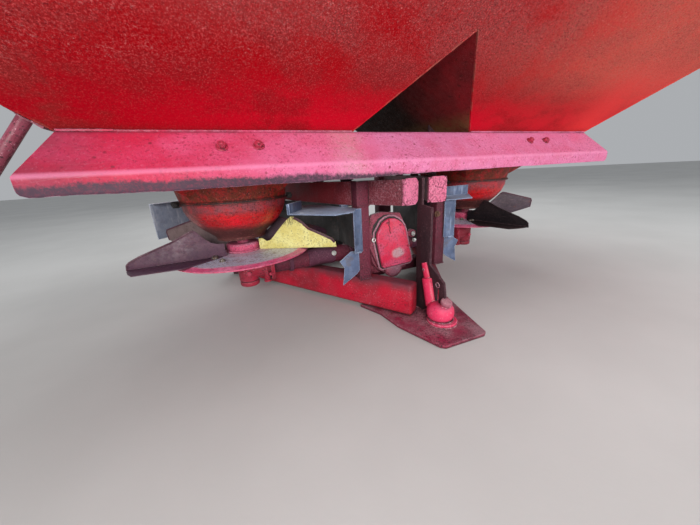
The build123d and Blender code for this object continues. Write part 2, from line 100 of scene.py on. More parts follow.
# ------------------------------------------------------------------ materials
class Mat:
    """A node material, built with short calls. Colours are linear."""

    def __init__(self, name, rough=0.5, metal=0.0, spec=0.5, coat=0.0):
        self.m = bpy.data.materials.new(name)
        self.m.use_nodes = True
        self.nt = self.m.node_tree
        self.nt.nodes.clear()
        self.out = self.nt.nodes.new("ShaderNodeOutputMaterial")
        self.b = self.nt.nodes.new("ShaderNodeBsdfPrincipled")
        self.nt.links.new(self.b.outputs[0], self.out.inputs[0])
        self.b.inputs["Roughness"].default_value = rough
        self.b.inputs["Metallic"].default_value = metal
        self.b.inputs["Specular IOR Level"].default_value = spec
        if coat:
            self.b.inputs["Coat Weight"].default_value = coat
            self.b.inputs["Coat Roughness"].default_value = 0.25
        self.tc = self.nt.nodes.new("ShaderNodeTexCoord").outputs["Object"]
        self.m.diffuse_color = (0.5, 0.1, 0.1, 1)

    def new(self, kind):
        return self.nt.nodes.new(kind)

    def link(self, a, b):
        if isinstance(a, (int, float)):
            b.default_value = a
        elif isinstance(a, (tuple, list)):
            b.default_value = (*a, 1.0) if len(a) == 3 and len(b.default_value) == 4 else a
        else:
            self.nt.links.new(a, b)

    def coords(self, scale=(1, 1, 1), rot=(0, 0, 0), loc=(0, 0, 0)):
        n = self.new("ShaderNodeMapping")
        self.nt.links.new(self.tc, n.inputs["Vector"])
        n.inputs["Scale"].default_value = scale
        n.inputs["Rotation"].default_value = rot
        n.inputs["Location"].default_value = loc
        return n.outputs[0]

    def noise(self, scale, detail=3.0, rough=0.55, vec=None, dist=0.0, lac=2.0):
        n = self.new("ShaderNodeTexNoise")
        n.inputs["Scale"].default_value = scale
        n.inputs["Detail"].default_value = detail
        n.inputs["Roughness"].default_value = rough
        n.inputs["Lacunarity"].default_value = lac
        n.inputs["Distortion"].default_value = dist
        self.link(vec if vec is not None else self.tc, n.inputs["Vector"])
        return n.outputs["Fac"]

    def voronoi(self, scale, vec=None, feature="F1", rand=1.0, out="Distance"):
        n = self.new("ShaderNodeTexVoronoi")
        n.feature = feature
        n.inputs["Scale"].default_value = scale
        n.inputs["Randomness"].default_value = rand
        self.link(vec if vec is not None else self.tc, n.inputs["Vector"])
        return n.outputs[out]

    def wave(self, scale, vec=None, dist=2.0, detail=2.0, direction="X"):
        n = self.new("ShaderNodeTexWave")
        n.bands_direction = direction
        n.inputs["Scale"].default_value = scale
        n.inputs["Distortion"].default_value = dist
        n.inputs["Detail"].default_value = detail
        self.link(vec if vec is not None else self.tc, n.inputs["Vector"])
        return n.outputs["Fac"]

    def ramp(self, fac, lo, hi, a=0.0, b=1.0):
        """Maps fac from lo..hi to a..b, clamped and smooth."""
        n = self.new("ShaderNodeMapRange")
        n.interpolation_type = "SMOOTHSTEP"
        self.link(fac, n.inputs["Value"])
        n.inputs["From Min"].default_value = lo
        n.inputs["From Max"].default_value = hi
        n.inputs["To Min"].default_value = a
        n.inputs["To Max"].default_value = b
        return n.outputs[0]

    def math(self, op, a, b=0.0):
        n = self.new("ShaderNodeMath")
        n.operation = op
        self.link(a, n.inputs[0])
        self.link(b, n.inputs[1])
        return n.outputs[0]

    def mul(self, *v):
        r = v[0]
        for x in v[1:]:
            r = self.math("MULTIPLY", r, x)
        return r

    def mix(self, fac, a, b):
        n = self.new("ShaderNodeMix")
        n.data_type = "RGBA"
        self.link(fac, n.inputs[0])
        self.link(a, n.inputs[6])
        self.link(b, n.inputs[7])
        return n.outputs[2]

    def xyz(self, vec=None):
        n = self.new("ShaderNodeSeparateXYZ")
        self.link(vec if vec is not None else self.tc, n.inputs[0])
        return n.outputs

    def normal_z(self):
        n = self.new("ShaderNodeNewGeometry")
        return self.xyz(n.outputs["Normal"])[2]

    def ao(self, dist=0.03, samples=3):
        n = self.new("ShaderNodeAmbientOcclusion")
        n.samples = samples
        n.inputs["Distance"].default_value = dist
        return n.outputs["AO"]

    def edge(self, radius=0.004, samples=3):
        """1 near sharp edges, 0 on flat parts."""
        bv = self.new("ShaderNodeBevel")
        bv.samples = samples
        bv.inputs["Radius"].default_value = radius
        g = self.new("ShaderNodeNewGeometry")
        d = self.new("ShaderNodeVectorMath")
        d.operation = "DOT_PRODUCT"
        self.nt.links.new(bv.outputs[0], d.inputs[0])
        self.nt.links.new(g.outputs["Normal"], d.inputs[1])
        return self.ramp(d.outputs["Value"], 0.995, 0.9)

    def colour(self, c):
        self.link(c, self.b.inputs["Base Color"])

    def rough(self, r):
        self.link(r, self.b.inputs["Roughness"])

    def metal(self, r):
        self.link(r, self.b.inputs["Metallic"])

    def bump(self, heights, dist=0.001, strength=1.0):
        """heights: list of (socket, weight)."""
        total = None
        for h, w in heights:
            t = self.math("MULTIPLY", h, w)
            total = t if total is None else self.math("ADD", total, t)
        n = self.new("ShaderNodeBump")
        n.inputs["Strength"].default_value = strength
        n.inputs["Distance"].default_value = dist
        self.link(total, n.inputs["Height"])
        self.nt.links.new(n.outputs[0], self.b.inputs["Normal"])


def specks(M, scale, lo, hi, vec=None):
    """Small round spots of a share of the cells."""
    d = M.voronoi(scale, vec)
    c = M.voronoi(scale, vec, out="Color")
    pick = M.ramp(M.xyz(c)[0], lo, lo + 0.02)
    return M.mul(M.ramp(d, hi, hi * 0.55), pick)


def painted(name, base, dark, dust, dust_top=0.5, fleck=(0.02, 0.012, 0.015), fleck_share=0.55, scuff=(0.55, 0.25, 0.27),
            scuff_share=0.72, rough=0.5, grime=(0.03, 0.02, 0.02), rust=None, chips_and_edge_highlight=0.5, big=3.0, zone=None):
    """Old paint: blotches, dust on what faces up, dark flecks, pale scuffs, grime and painted shade in corners, worn
    edges that also act as painted edge highlights.
    """
    M = Mat(name, rough=rough, spec=0.24)
    n1 = M.noise(big, 5, 0.6)
    n2 = M.noise(14, 4, 0.6)
    n3 = M.noise(90, 3, 0.6)
    c = M.mix(M.ramp(n1, 0.38, 0.64), base, dark)
    up = M.ramp(M.normal_z(), 0.25, 0.95)
    film = M.mul(M.math("ADD", M.mul(up, dust_top), 0.12), M.ramp(n2, 0.3, 0.7))
    c = M.mix(film, c, dust)
    fine = M.noise(170, 3, 0.85)
    c = M.mix(M.mul(M.ramp(fine, scuff_share - 0.14, scuff_share - 0.04), M.ramp(n2, 0.35, 0.65, 0.35, 1.0), 0.8), c, scuff)
    c = M.mix(M.mul(M.ramp(M.noise(180, 3, 0.85, M.coords(loc=(3, 1, 7))), fleck_share, fleck_share + 0.08),
                    M.ramp(M.noise(9, 3, 0.6, M.coords(loc=(1, 5, 2))), 0.38, 0.60, 0.35, 1.0)), c, fleck)
    if zone is not None:                    # axis, from, to, colour: another tone in part of the machine
        k, lo, hi, tone = zone
        c = M.mix(M.mul(M.ramp(M.xyz()[k], lo, hi), M.ramp(n2, 0.30, 0.60, 0.55, 1.0), 0.85), c, tone)
    # darker in corners and recesses by ambient occlusion: painted shade together with grime, in the colour given as
    # grime
    corner_shade = M.ramp(M.ao(0.035), 0.75, 0.25)
    c = M.mix(M.mul(corner_shade, 0.8), c, grime)
    if rust is not None:
        c = M.mix(M.mul(M.ramp(M.noise(26, 5, 0.7, M.coords(loc=(8, 2, 1))), 0.62, 0.72), 0.9), c, rust)
    # paler edges: worn paint, and painted highlights along the edges as well
    if chips_and_edge_highlight:
        e = M.mul(M.edge(0.0035), M.ramp(n3, 0.45, 0.6), chips_and_edge_highlight)
        c = M.mix(e, c, scuff)
    M.colour(c)
    M.rough(M.ramp(n2, 0.2, 0.8, rough - 0.08, rough + 0.22))
    M.bump([(n3, 0.25), (fine, 0.14), (n1, 1.0), (n2, 0.5)], dist=0.0016, strength=0.55)
    return M.m


def make_hopper():
    M = Mat("hopper_paint", rough=0.55, spec=0.04)
    p = M.xyz()
    streak = M.coords(scale=(1.0, 1.0, 2.1), rot=(0, radians(-35), 0))
    n1 = M.noise(1.9, 5, 0.62, streak)
    n2 = M.noise(7.5, 5, 0.65, streak)
    n3 = M.noise(30, 4, 0.6)
    grain = M.noise(180, 3, 0.85)
    fine = M.noise(250, 3, 0.85, M.coords(loc=(6, 2, 3)))
    # crimson, brighter towards the lower edge and to the right
    low = M.ramp(p[2], 0.76, 0.645)
    c = M.mix(low, (0.33, 0.0008, 0.0045), (0.52, 0.0010, 0.0150))
    right = M.mul(M.ramp(M.math("ADD", p[0], M.math("MULTIPLY", n1, 0.6)), 0.32, 1.0), M.ramp(p[2], 0.69, 0.79, 0.30, 1.0))
    c = M.mix(M.mul(right, 0.8), c, (0.60, 0.018, 0.022))
    c = M.mix(M.mul(M.ramp(n2, 0.42, 0.64), 0.6), c, (0.20, 0.0010, 0.004))
    # dull film of dust, thicker higher up
    cloud = M.ramp(M.math("ADD", M.mul(n1, 1.0), M.mul(n2, 0.5)), 0.62, 0.90)
    high = M.ramp(p[2], 0.655, 0.86, 0.03, 1.0)
    patch = M.mul(M.ramp(M.math("ABSOLUTE", M.math("ADD", p[0], 0.49)), 0.30, 0.10), M.ramp(p[2], 0.735, 0.80), M.ramp(n2, 0.30, 0.60, 0.5, 1.0))
    film = M.mul(M.math("MAXIMUM", cloud, patch), high, M.ramp(grain, 0.36, 0.60, 0.35, 1.0))
    c = M.mix(M.mul(film, 0.9), c, (0.25, 0.058, 0.056))
    # orange-pink weathering on the right-hand end
    c = M.mix(M.mul(right, M.ramp(grain, 0.34, 0.62, 0.30, 1.0), M.ramp(p[2], 0.63, 0.80, 0.35, 1.0), 0.85), c, (0.50, 0.125, 0.085))
    c = M.mix(M.mul(M.ramp(p[0], -0.35, -0.95), M.ramp(p[2], 0.84, 0.68), 0.65), c, (0.24, 0.0008, 0.0045))
    # brown stain at the far upper left
    left = M.ramp(M.math("SUBTRACT", p[0], M.mul(p[2], -0.4)), -0.35, -0.80)
    c = M.mix(M.mul(left, M.ramp(n2, 0.42, 0.6), 0.55), c, (0.19, 0.035, 0.030))
    # specks, pale and dark
    s1 = specks(M, 205, 0.80, 0.30)
    s2 = specks(M, 110, 0.80, 0.24, M.coords(scale=(1, 1, 1.7), rot=(0, radians(-40), 0)))
    band = M.ramp(M.noise(4.5, 4, 0.6, streak), 0.40, 0.62)
    c = M.mix(M.mul(s1, M.math("ADD", M.mul(band, high, 0.75), 0.06)), c, (0.52, 0.14, 0.14))
    c = M.mix(M.mul(s2, band, high, 0.7), c, (0.58, 0.22, 0.20))
    c = M.mix(M.mul(M.ramp(fine, 0.525, 0.62), M.ramp(n1, 0.40, 0.60, 0.40, 1.0), M.ramp(p[2], 0.66, 0.80, 0.30, 0.75)), c, (0.070, 0.002, 0.006))
    # pale grit, thickest from the upper left to the middle
    grit = M.noise(170, 6, 0.92, M.coords(scale=(1, 1, 1.35), rot=(0, radians(-30), 0), loc=(2, 8, 4)))
    zone = M.mul(M.ramp(M.math("ADD", p[2], M.mul(p[0], -0.06)), 0.745, 0.80), M.ramp(p[0], 0.35, -0.10, 0.25, 1.0))
    patchy = M.ramp(M.noise(13, 4, 0.7, streak), 0.40, 0.62, 0.15, 1.0)
    c = M.mix(M.mul(M.ramp(grit, 0.545, 0.62), M.math("ADD", M.mul(zone, patchy, 0.74), 0.05)), c, (0.56, 0.190, 0.190))
    c = M.mix(M.mul(M.ramp(grain, 0.56, 0.68), M.ramp(p[2], 0.66, 0.80, 0.20, 0.5)), c, (0.13, 0.005, 0.008))
    c = M.mix(M.mul(M.ramp(p[0], 0.62, 0.86), M.ramp(p[2], 0.86, 0.72), M.ramp(n2, 0.3, 0.6, 0.4, 1.0), 0.7), c, (0.80, 0.045, 0.045))
    c = M.mix(M.mul(M.ramp(M.noise(290, 3, 0.85, M.coords(loc=(9, 1, 2))), 0.47, 0.38), M.ramp(p[2], 0.66, 0.82, 0.35, 1.0), M.ramp(n2, 0.35, 0.6, 0.5, 1.0), 0.85), c, (0.62, 0.075, 0.080))
    # short downward runs of dirt
    run = M.noise(34, 4, 0.7, M.coords(scale=(1.0, 0.12, 0.12)))
    c = M.mix(M.mul(M.ramp(run, 0.60, 0.72), M.ramp(n1, 0.45, 0.62), 0.35), c, (0.16, 0.03, 0.03))
    # darker in corners and recesses: painted shade together with grime
    c = M.mix(M.mul(M.ramp(M.ao(0.05), 0.65, 0.2), 0.8), c, (0.05, 0.012, 0.012))
    c = M.mix(M.mul(M.edge(0.004), M.ramp(n3, 0.42, 0.6), 0.8), c, (0.24, 0.10, 0.075))
    M.colour(c)
    M.rough(M.ramp(n2, 0.25, 0.75, 0.46, 0.70))
    M.bump([(M.noise(1.6, 2, 0.4), 6.0), (n3, 0.25), (s1, 0.25), (grain, 0.18)], dist=0.0020, strength=0.5)
    return M.m


def make_gap():
    """Facets of the roof-shaped fold, in the gap between the funnels."""
    M = Mat("fold_paint", rough=0.7, spec=0.12)
    p = M.xyz()
    n1 = M.noise(9, 5, 0.65)
    n2 = M.noise(60, 4, 0.7)
    fine = M.noise(380, 2, 0.8)
    # darker further into the gap: painted shade
    far_shade = M.ramp(p[1], -0.20, -0.02)
    c = M.mix(M.ramp(n1, 0.35, 0.65), (0.20, 0.010, 0.014), (0.12, 0.010, 0.012))
    c = M.mix(far_shade, c, (0.024, 0.008, 0.004))
    c = M.mix(M.mul(M.ramp(p[2], 0.70, 0.635), M.ramp(n1, 0.3, 0.6), 0.8), c, (0.20, 0.12, 0.045))
    c = M.mix(M.mul(M.ramp(fine, 0.58, 0.68), 0.5), c, (0.30, 0.10, 0.085))
    c = M.mix(M.mul(M.ramp(n2, 0.56, 0.68), 0.5), c, (0.03, 0.012, 0.010))
    M.colour(c)
    M.rough(M.ramp(n2, 0.3, 0.7, 0.55, 0.85))
    M.bump([(n2, 0.6), (n1, 0.8)], dist=0.0018, strength=0.5)
    return M.m


def make_apron():
    M = Mat("apron_paint", rough=0.48, spec=0.24)
    p = M.xyz()
    n1 = M.noise(3.2, 5, 0.6, M.coords(scale=(1, 1.6, 1.6)))
    n2 = M.noise(18, 4, 0.6)
    n3 = M.noise(70, 4, 0.7)
    fine = M.noise(150, 4, 0.85)
    c = M.mix(M.ramp(n1, 0.38, 0.62), (0.50, 0.018, 0.060), (0.60, 0.056, 0.150))
    fade = M.ramp(M.math("ADD", p[0], M.mul(n1, 0.5)), -0.60, 0.20)
    c = M.mix(M.mul(fade, M.ramp(n2, 0.2, 0.8, 0.60, 1.0)), c, (0.63, 0.195, 0.370))
    c = M.mix(M.mul(M.ramp(p[0], -0.76, -0.93), M.ramp(n2, 0.25, 0.65, 0.5, 1.0), 0.75), c, (0.22, 0.032, 0.058))
    # dusty patch near the middle
    mid = M.mul(M.ramp(M.math("ABSOLUTE", M.math("SUBTRACT", p[0], M.math("ADD", -0.31, M.mul(n2, 0.09)))), 0.075, 0.015), M.ramp(n3, 0.3, 0.6, 0.4, 1.0))
    c = M.mix(M.mul(mid, M.ramp(fine, 0.40, 0.60, 0.35, 1.0), 0.6), c, (0.50, 0.29, 0.29))
    # flecks, small and large
    c = M.mix(M.mul(M.ramp(fine, 0.53, 0.63), M.ramp(M.noise(8, 3, 0.6), 0.36, 0.60, 0.35, 1.0), 0.8), c, (0.24, 0.018, 0.05))
    c = M.mix(M.mul(M.ramp(n3, 0.60, 0.72), 0.55), c, (0.36, 0.02, 0.06))
    c = M.mix(M.mul(M.ramp(M.noise(160, 3, 0.85, M.coords(loc=(2, 9, 4))), 0.55, 0.66), M.ramp(p[0], -0.8, 0.1, 0.10, 0.55)), c, (0.80, 0.36, 0.50))
    c = M.mix(M.mul(specks(M, 60, 0.80, 0.30), M.ramp(n2, 0.4, 0.6), 0.8), c, (0.20, 0.02, 0.04))
    # grey-purple grime that creeps up from the lower edge, most on the left half
    edge_z = (630 - 128) / 1000
    reach = M.math("ADD", M.math("ADD", M.mul(M.noise(15, 4, 0.7), 0.026), M.mul(fine, 0.020)), M.ramp(p[0], -0.9, 0.35, 0.006, -0.020))
    h = M.math("SUBTRACT", p[2], M.math("ADD", reach, edge_z - 0.006))
    grime = M.ramp(h, 0.006, -0.006)
    c = M.mix(M.mul(grime, M.ramp(M.noise(150, 3, 0.85), 0.36, 0.56, 0.84, 1.0)), c, (0.058, 0.028, 0.048))
    # painted highlight along the bend
    zb = (630 - 88) / 1000
    bend_highlight = M.ramp(M.math("ABSOLUTE", M.math("SUBTRACT", p[2], zb)), 0.008, 0.001)
    c = M.mix(M.mul(bend_highlight, 0.45), c, (0.74, 0.26, 0.44))
    # painted shade in the crease along the top edge
    c = M.mix(M.mul(M.ramp(p[2], 0.6235, 0.6285), M.ramp(n2, 0.35, 0.6), 0.6), c, (0.20, 0.03, 0.05))
    # long pale scratches at the left end
    sc = M.voronoi(5.0, M.coords(scale=(1.0, 7.0, 7.0), rot=(0, radians(18), radians(8))), feature="DISTANCE_TO_EDGE")
    left = M.ramp(p[0], -0.72, -0.88)
    c = M.mix(M.mul(M.ramp(sc, 0.012, 0.002), M.ramp(n2, 0.46, 0.58), M.math("ADD", M.mul(left, 0.14), 0.03)), c, (0.46, 0.30, 0.34))
    c = M.mix(M.mul(M.edge(0.002), M.ramp(n3, 0.4, 0.6), 0.7), c, (0.80, 0.40, 0.52))
    # darker in corners and recesses: painted shade together with grime
    c = M.mix(M.mul(M.ramp(M.ao(0.02), 0.6, 0.2), 0.5), c, (0.10, 0.02, 0.03))
    M.colour(c)
    M.rough(M.ramp(n2, 0.25, 0.75, 0.42, 0.64))
    M.bump([(n2, 0.5), (fine, 0.14), (grime, 0.4), (n3, 0.25), (M.noise(2.5, 2, 0.4), 3.0)], dist=0.0016, strength=0.5)
    return M.m


def make_cup():
    M = Mat("cup_paint", rough=0.34, spec=0.32)
    p = M.xyz()
    z = M.math("MULTIPLY", M.math("SUBTRACT", p[2], 0.630), 1000.0)       # height over the hopper's lower edge, mm
    n1 = M.noise(9, 5, 0.65)
    n2 = M.noise(42, 4, 0.7)
    fine = M.noise(400, 2, 0.8)
    zz = M.math("ADD", z, M.math("MULTIPLY", M.math("SUBTRACT", n1, 0.5), 34.0))
    fine = M.noise(170, 4, 0.85)
    c = M.mix(M.ramp(n1, 0.36, 0.62), (0.72, 0.008, 0.022), (0.50, 0.012, 0.014))
    # under the joint: dusty purple-pink band, then glossy red, then brown dirt
    band = M.mul(M.ramp(zz, -232.0, -206.0), M.ramp(z, -184.0, -190.0))
    c = M.mix(M.mul(band, M.ramp(n2, 0.34, 0.62, 0.30, 0.9)), c, (0.24, 0.062, 0.080))
    low = M.ramp(zz, -254.0, -284.0)
    c = M.mix(low, c, (0.070, 0.016, 0.014))
    side = M.mul(M.ramp(M.math("ADD", p[0], M.math("MULTIPLY", zz, 0.0011)), -0.87, -0.98), M.ramp(n2, 0.30, 0.58, 0.5, 1.0), M.ramp(z, -180.0, -190.0))
    c = M.mix(M.mul(side, 0.85), c, (0.110, 0.034, 0.032))
    # over the joint: brown-orange
    top = M.ramp(z, -186.0, -183.0)
    c = M.mix(M.mul(top, M.ramp(n2, 0.34, 0.60, 0.25, 1.0)), c, (0.19, 0.034, 0.014))
    seam = M.ramp(M.math("ABSOLUTE", M.math("SUBTRACT", z, -184.0)), 9.0, 3.0)
    c = M.mix(M.mul(seam, M.ramp(n2, 0.3, 0.55), 0.8), c, (0.055, 0.020, 0.016))
    c = M.mix(M.mul(M.ramp(fine, 0.51, 0.60), M.ramp(n1, 0.36, 0.6, 0.45, 0.95)), c, (0.045, 0.012, 0.012))
    c = M.mix(M.mul(M.ramp(M.noise(150, 3, 0.85, M.coords(loc=(5, 5, 5))), 0.58, 0.66), 0.5), c, (0.56, 0.16, 0.16))
    # darker in corners and recesses: painted shade together with grime
    c = M.mix(M.mul(M.ramp(M.ao(0.03), 0.6, 0.15), 0.8), c, (0.03, 0.014, 0.012))
    M.colour(c)
    dirty = M.math("MAXIMUM", M.math("MAXIMUM", low, top), M.mul(band, 0.6))
    M.rough(M.math("ADD", M.ramp(n2, 0.25, 0.75, 0.22, 0.40), M.mul(dirty, 0.30)))
    M.bump([(n1, 0.8), (n2, 0.4), (fine, 0.12)], dist=0.0016, strength=0.45)
    return M.m


def make_disc():
    M = Mat("disc_worn", rough=0.45, metal=0.0, spec=0.4)
    p = M.xyz()
    ax = M.math("ABSOLUTE", p[0])
    dx = M.math("SUBTRACT", ax, 0.5725)
    dy = M.math("SUBTRACT", p[1], (328 - Y_MID) / 1000)
    r = M.math("SQRT", M.math("ADD", M.math("MULTIPLY", dx, dx), M.math("MULTIPLY", dy, dy)))
    n1 = M.noise(12, 5, 0.65)
    n2 = M.noise(60, 3, 0.6)
    comb = M.new("ShaderNodeCombineXYZ")
    M.link(M.math("MULTIPLY", r, 260.0), comb.inputs[0])
    M.link(M.math("MULTIPLY", M.math("ARCTAN2", dy, dx), 1.2), comb.inputs[1])
    rings = M.noise(1.0, 3, 0.7, comb.outputs[0])
    steel = M.mix(M.ramp(rings, 0.3, 0.7), (0.56, 0.58, 0.84), (0.86, 0.90, 1.0))
    steel = M.mix(M.mul(M.ramp(n1, 0.56, 0.68), 0.6), steel, (0.32, 0.17, 0.23))
    paint = M.mix(M.ramp(n1, 0.4, 0.6), (0.70, 0.085, 0.215), (0.76, 0.22, 0.38))
    rr = M.math("ADD", r, M.math("MULTIPLY", M.math("SUBTRACT", n1, 0.5), 0.03))
    under = M.ramp(M.normal_z(), 0.1, -0.2)
    rim = M.math("MAXIMUM", M.ramp(rr, 0.218, 0.230), under)
    inner = M.ramp(rr, 0.120, 0.100)
    c = M.mix(rim, steel, paint)
    c = M.mix(M.mul(inner, 0.5), c, (0.54, 0.22, 0.31))
    c = M.mix(M.mul(M.ramp(M.noise(170, 3, 0.85), 0.53, 0.61), 0.75), c, (0.13, 0.05, 0.07))
    c = M.mix(M.mul(M.ramp(M.noise(34, 5, 0.75, M.coords(loc=(1, 4, 2))), 0.56, 0.66), 0.6), c, (0.14, 0.085, 0.11))
    # darker in corners and recesses: painted shade together with grime
    c = M.mix(M.mul(M.ramp(M.ao(0.02), 0.6, 0.2), 0.6), c, (0.08, 0.03, 0.03))
    M.colour(c)
    M.metal(M.mul(M.math("SUBTRACT", 1.0, M.math("MAXIMUM", rim, inner)), 0.25))
    M.rough(M.ramp(rings, 0.3, 0.7, 0.36, 0.55))
    M.bump([(rings, 0.35), (n2, 0.3), (n1, 0.4)], dist=0.0008, strength=0.5)
    return M.m


def make_vane(name, a, b, up, edge=(0.30, 0.17, 0.17), streak=(0.20, 0.13, 0.13), metal=0.1):
    """Worn vane sheet: a and b on upright faces, up on what faces the sky."""
    M = Mat(name, rough=0.5, metal=metal, spec=0.28)
    n1 = M.noise(14, 5, 0.65)
    n2 = M.noise(70, 4, 0.65)
    st = M.noise(30, 3, 0.6, M.coords(scale=(1, 1, 9)))
    c = M.mix(M.ramp(n1, 0.35, 0.65), a, b)
    c = M.mix(M.mul(M.ramp(M.normal_z(), 0.3, 0.8), M.ramp(n2, 0.3, 0.6, 0.6, 1.0)), c, up)
    # darker towards the bottom of the web: painted shade near the disc
    low = M.ramp(M.xyz()[2], 0.318, 0.262)
    c = M.mix(M.mul(low, 0.42), c, tuple(v * 0.62 for v in a[:1]) + (a[1] * 0.60, a[2] * 0.74))
    c = M.mix(M.mul(M.ramp(st, 0.55, 0.72), M.ramp(low, 0.0, 1.0, 0.5, 0.12)), c, streak)
    c = M.mix(M.mul(M.ramp(M.noise(170, 3, 0.85), 0.55, 0.64), 0.45), c, streak)
    c = M.mix(M.mul(M.ramp(M.noise(170, 3, 0.85, M.coords(loc=(7, 7, 1))), 0.55, 0.64), 0.6), c, tuple(v * 0.3 for v in a))
    c = M.mix(M.mul(M.ramp(M.noise(20, 4, 0.7, M.coords(loc=(4, 1, 1))), 0.6, 0.7), 0.5), c, (0.15, 0.045, 0.03))
    c = M.mix(M.mul(M.edge(0.003), M.ramp(n2, 0.4, 0.6), 0.8), c, edge)
    M.colour(c)
    M.rough(M.ramp(n2, 0.3, 0.7, 0.36, 0.62))
    M.bump([(n2, 0.4), (n1, 0.5), (st, 0.3)], dist=0.001, strength=0.5)
    return M.m


def make_yellow():
    M = Mat("vane_yellow_paint", rough=0.55, spec=0.35)
    p = M.xyz()
    n1 = M.noise(24, 5, 0.7)
    n2 = M.noise(95, 4, 0.7)
    c = M.mix(M.ramp(n1, 0.35, 0.65), (0.60, 0.52, 0.15), (0.70, 0.66, 0.27))
    # moss and grime in streaks below the peak
    top = M.ramp(p[2], 0.318, 0.372)
    streaks = M.noise(60, 4, 0.75, M.coords(scale=(2.2, 2.2, 0.5)))
    moss = M.mul(M.ramp(streaks, 0.44, 0.56), M.ramp(M.math("ADD", M.mul(n1, 0.8), M.mul(top, 0.60)), 0.52, 0.80))
    c = M.mix(M.mul(moss, 0.9), c, (0.16, 0.15, 0.05))
    c = M.mix(M.mul(M.ramp(M.noise(150, 3, 0.85), 0.54, 0.62), M.ramp(n1, 0.35, 0.6, 0.35, 1.0), 0.8), c, (0.17, 0.13, 0.05))
    c = M.mix(M.mul(M.edge(0.0025), M.ramp(n2, 0.46, 0.6), 0.6), c, (0.20, 0.09, 0.075))
    M.colour(c)
    M.rough(M.ramp(n2, 0.25, 0.75, 0.42, 0.75))
    M.bump([(n2, 0.5), (moss, 0.8)], dist=0.001, strength=0.6)
    return M.m


def make_galv(name, a, b, bright=(0.62, 0.68, 0.78), dirt=0.55):
    M = Mat(name, rough=0.4, metal=0.15, spec=0.45)
    n1 = M.noise(8, 5, 0.6)
    sp = M.voronoi(70, out="Color")
    g = M.xyz(sp)[0]
    c = M.mix(M.ramp(n1, 0.35, 0.65), a, b)
    # upward faces lighter and bluer: painted sky reflection
    c = M.mix(M.mul(M.ramp(M.normal_z(), 0.3, 0.8), 0.75), c, bright)
    c = M.mix(M.mul(g, 0.10), c, bright)
    c = M.mix(M.mul(M.ramp(M.noise(30, 5, 0.75), 0.52, 0.68), dirt), c, (0.13, 0.10, 0.095))
    c = M.mix(M.mul(M.ramp(M.noise(280, 3, 0.75), 0.58, 0.68), 0.5), c, (0.10, 0.08, 0.08))
    run = M.noise(26, 4, 0.7, M.coords(scale=(1.0, 1.0, 0.15)))
    c = M.mix(M.mul(M.ramp(run, 0.56, 0.70), 0.4), c, bright)
    # edges lighter: painted highlight
    c = M.mix(M.mul(M.edge(0.0022), 0.85), c, bright)
    # darker in corners and recesses: painted shade together with grime
    c = M.mix(M.mul(M.ramp(M.ao(0.03), 0.6, 0.2), 0.6), c, (0.06, 0.05, 0.045))
    M.colour(c)
    M.rough(M.ramp(M.noise(22, 3, 0.6), 0.3, 0.7, 0.36, 0.60))
    M.bump([(n1, 1.0), (M.noise(40, 3, 0.6), 0.3)], dist=0.001, strength=0.4)
    return M.m


def make_cover():
    """Cover of the centre gearbox: red gone pink, with a scraped whitish patch."""
    M = Mat("cover_paint", rough=0.4, spec=0.45)
    p = M.xyz()
    n1 = M.noise(12, 5, 0.65)
    n2 = M.noise(55, 4, 0.7)
    fine = M.noise(170, 3, 0.85)
    c = M.mix(M.ramp(n1, 0.36, 0.62), (0.62, 0.022, 0.070), (0.58, 0.080, 0.16))
    dx = M.math("SUBTRACT", p[0], 0.012)
    dz = M.math("SUBTRACT", p[2], 0.188)
    d = M.math("SQRT", M.math("ADD", M.math("MULTIPLY", dx, dx), M.math("MULTIPLY", M.math("MULTIPLY", dz, dz), 1.8)))
    patch = M.ramp(M.math("ADD", d, M.mul(n2, 0.022)), 0.048, 0.030)
    c = M.mix(M.mul(patch, M.ramp(M.noise(230, 3, 0.8), 0.30, 0.62, 0.55, 0.95)), c, (0.46, 0.33, 0.36))
    c = M.mix(M.mul(M.ramp(fine, 0.53, 0.60), M.ramp(n1, 0.38, 0.60, 0.4, 1.0), 0.85), c, (0.10, 0.012, 0.03))
    c = M.mix(M.mul(M.ramp(n2, 0.60, 0.70), 0.6), c, (0.22, 0.05, 0.07))
    c = M.mix(M.mul(M.edge(0.003), M.ramp(n2, 0.4, 0.6), 0.8), c, (0.78, 0.46, 0.54))
    # darker in corners and recesses: painted shade together with grime
    c = M.mix(M.mul(M.ramp(M.ao(0.02), 0.6, 0.2), 0.6), c, (0.06, 0.02, 0.03))
    M.colour(c)
    M.rough(M.ramp(n2, 0.3, 0.7, 0.34, 0.6))
    M.bump([(n1, 0.8), (n2, 0.5), (fine, 0.1)], dist=0.0014, strength=0.5)
    return M.m


def make_steel(name="bolt_steel", a=(0.30, 0.29, 0.27), b=(0.13, 0.085, 0.06), metal=0.6, rough=0.4, share=0.5):
    M = Mat(name, rough=rough, metal=metal)
    n1 = M.noise(120, 4, 0.7)
    n2 = M.noise(500, 2, 0.6)
    c = M.mix(M.ramp(n1, share - 0.1, share + 0.1), a, b)
    # darker in corners and recesses: painted shade together with grime
    c = M.mix(M.mul(M.ramp(M.ao(0.01), 0.6, 0.2), 0.6), c, (0.04, 0.025, 0.02))
    M.colour(c)
    M.rough(M.ramp(n1, 0.3, 0.7, rough - 0.08, rough + 0.25))
    M.bump([(n1, 0.4), (n2, 0.2)], dist=0.0006, strength=0.5)
    return M.m


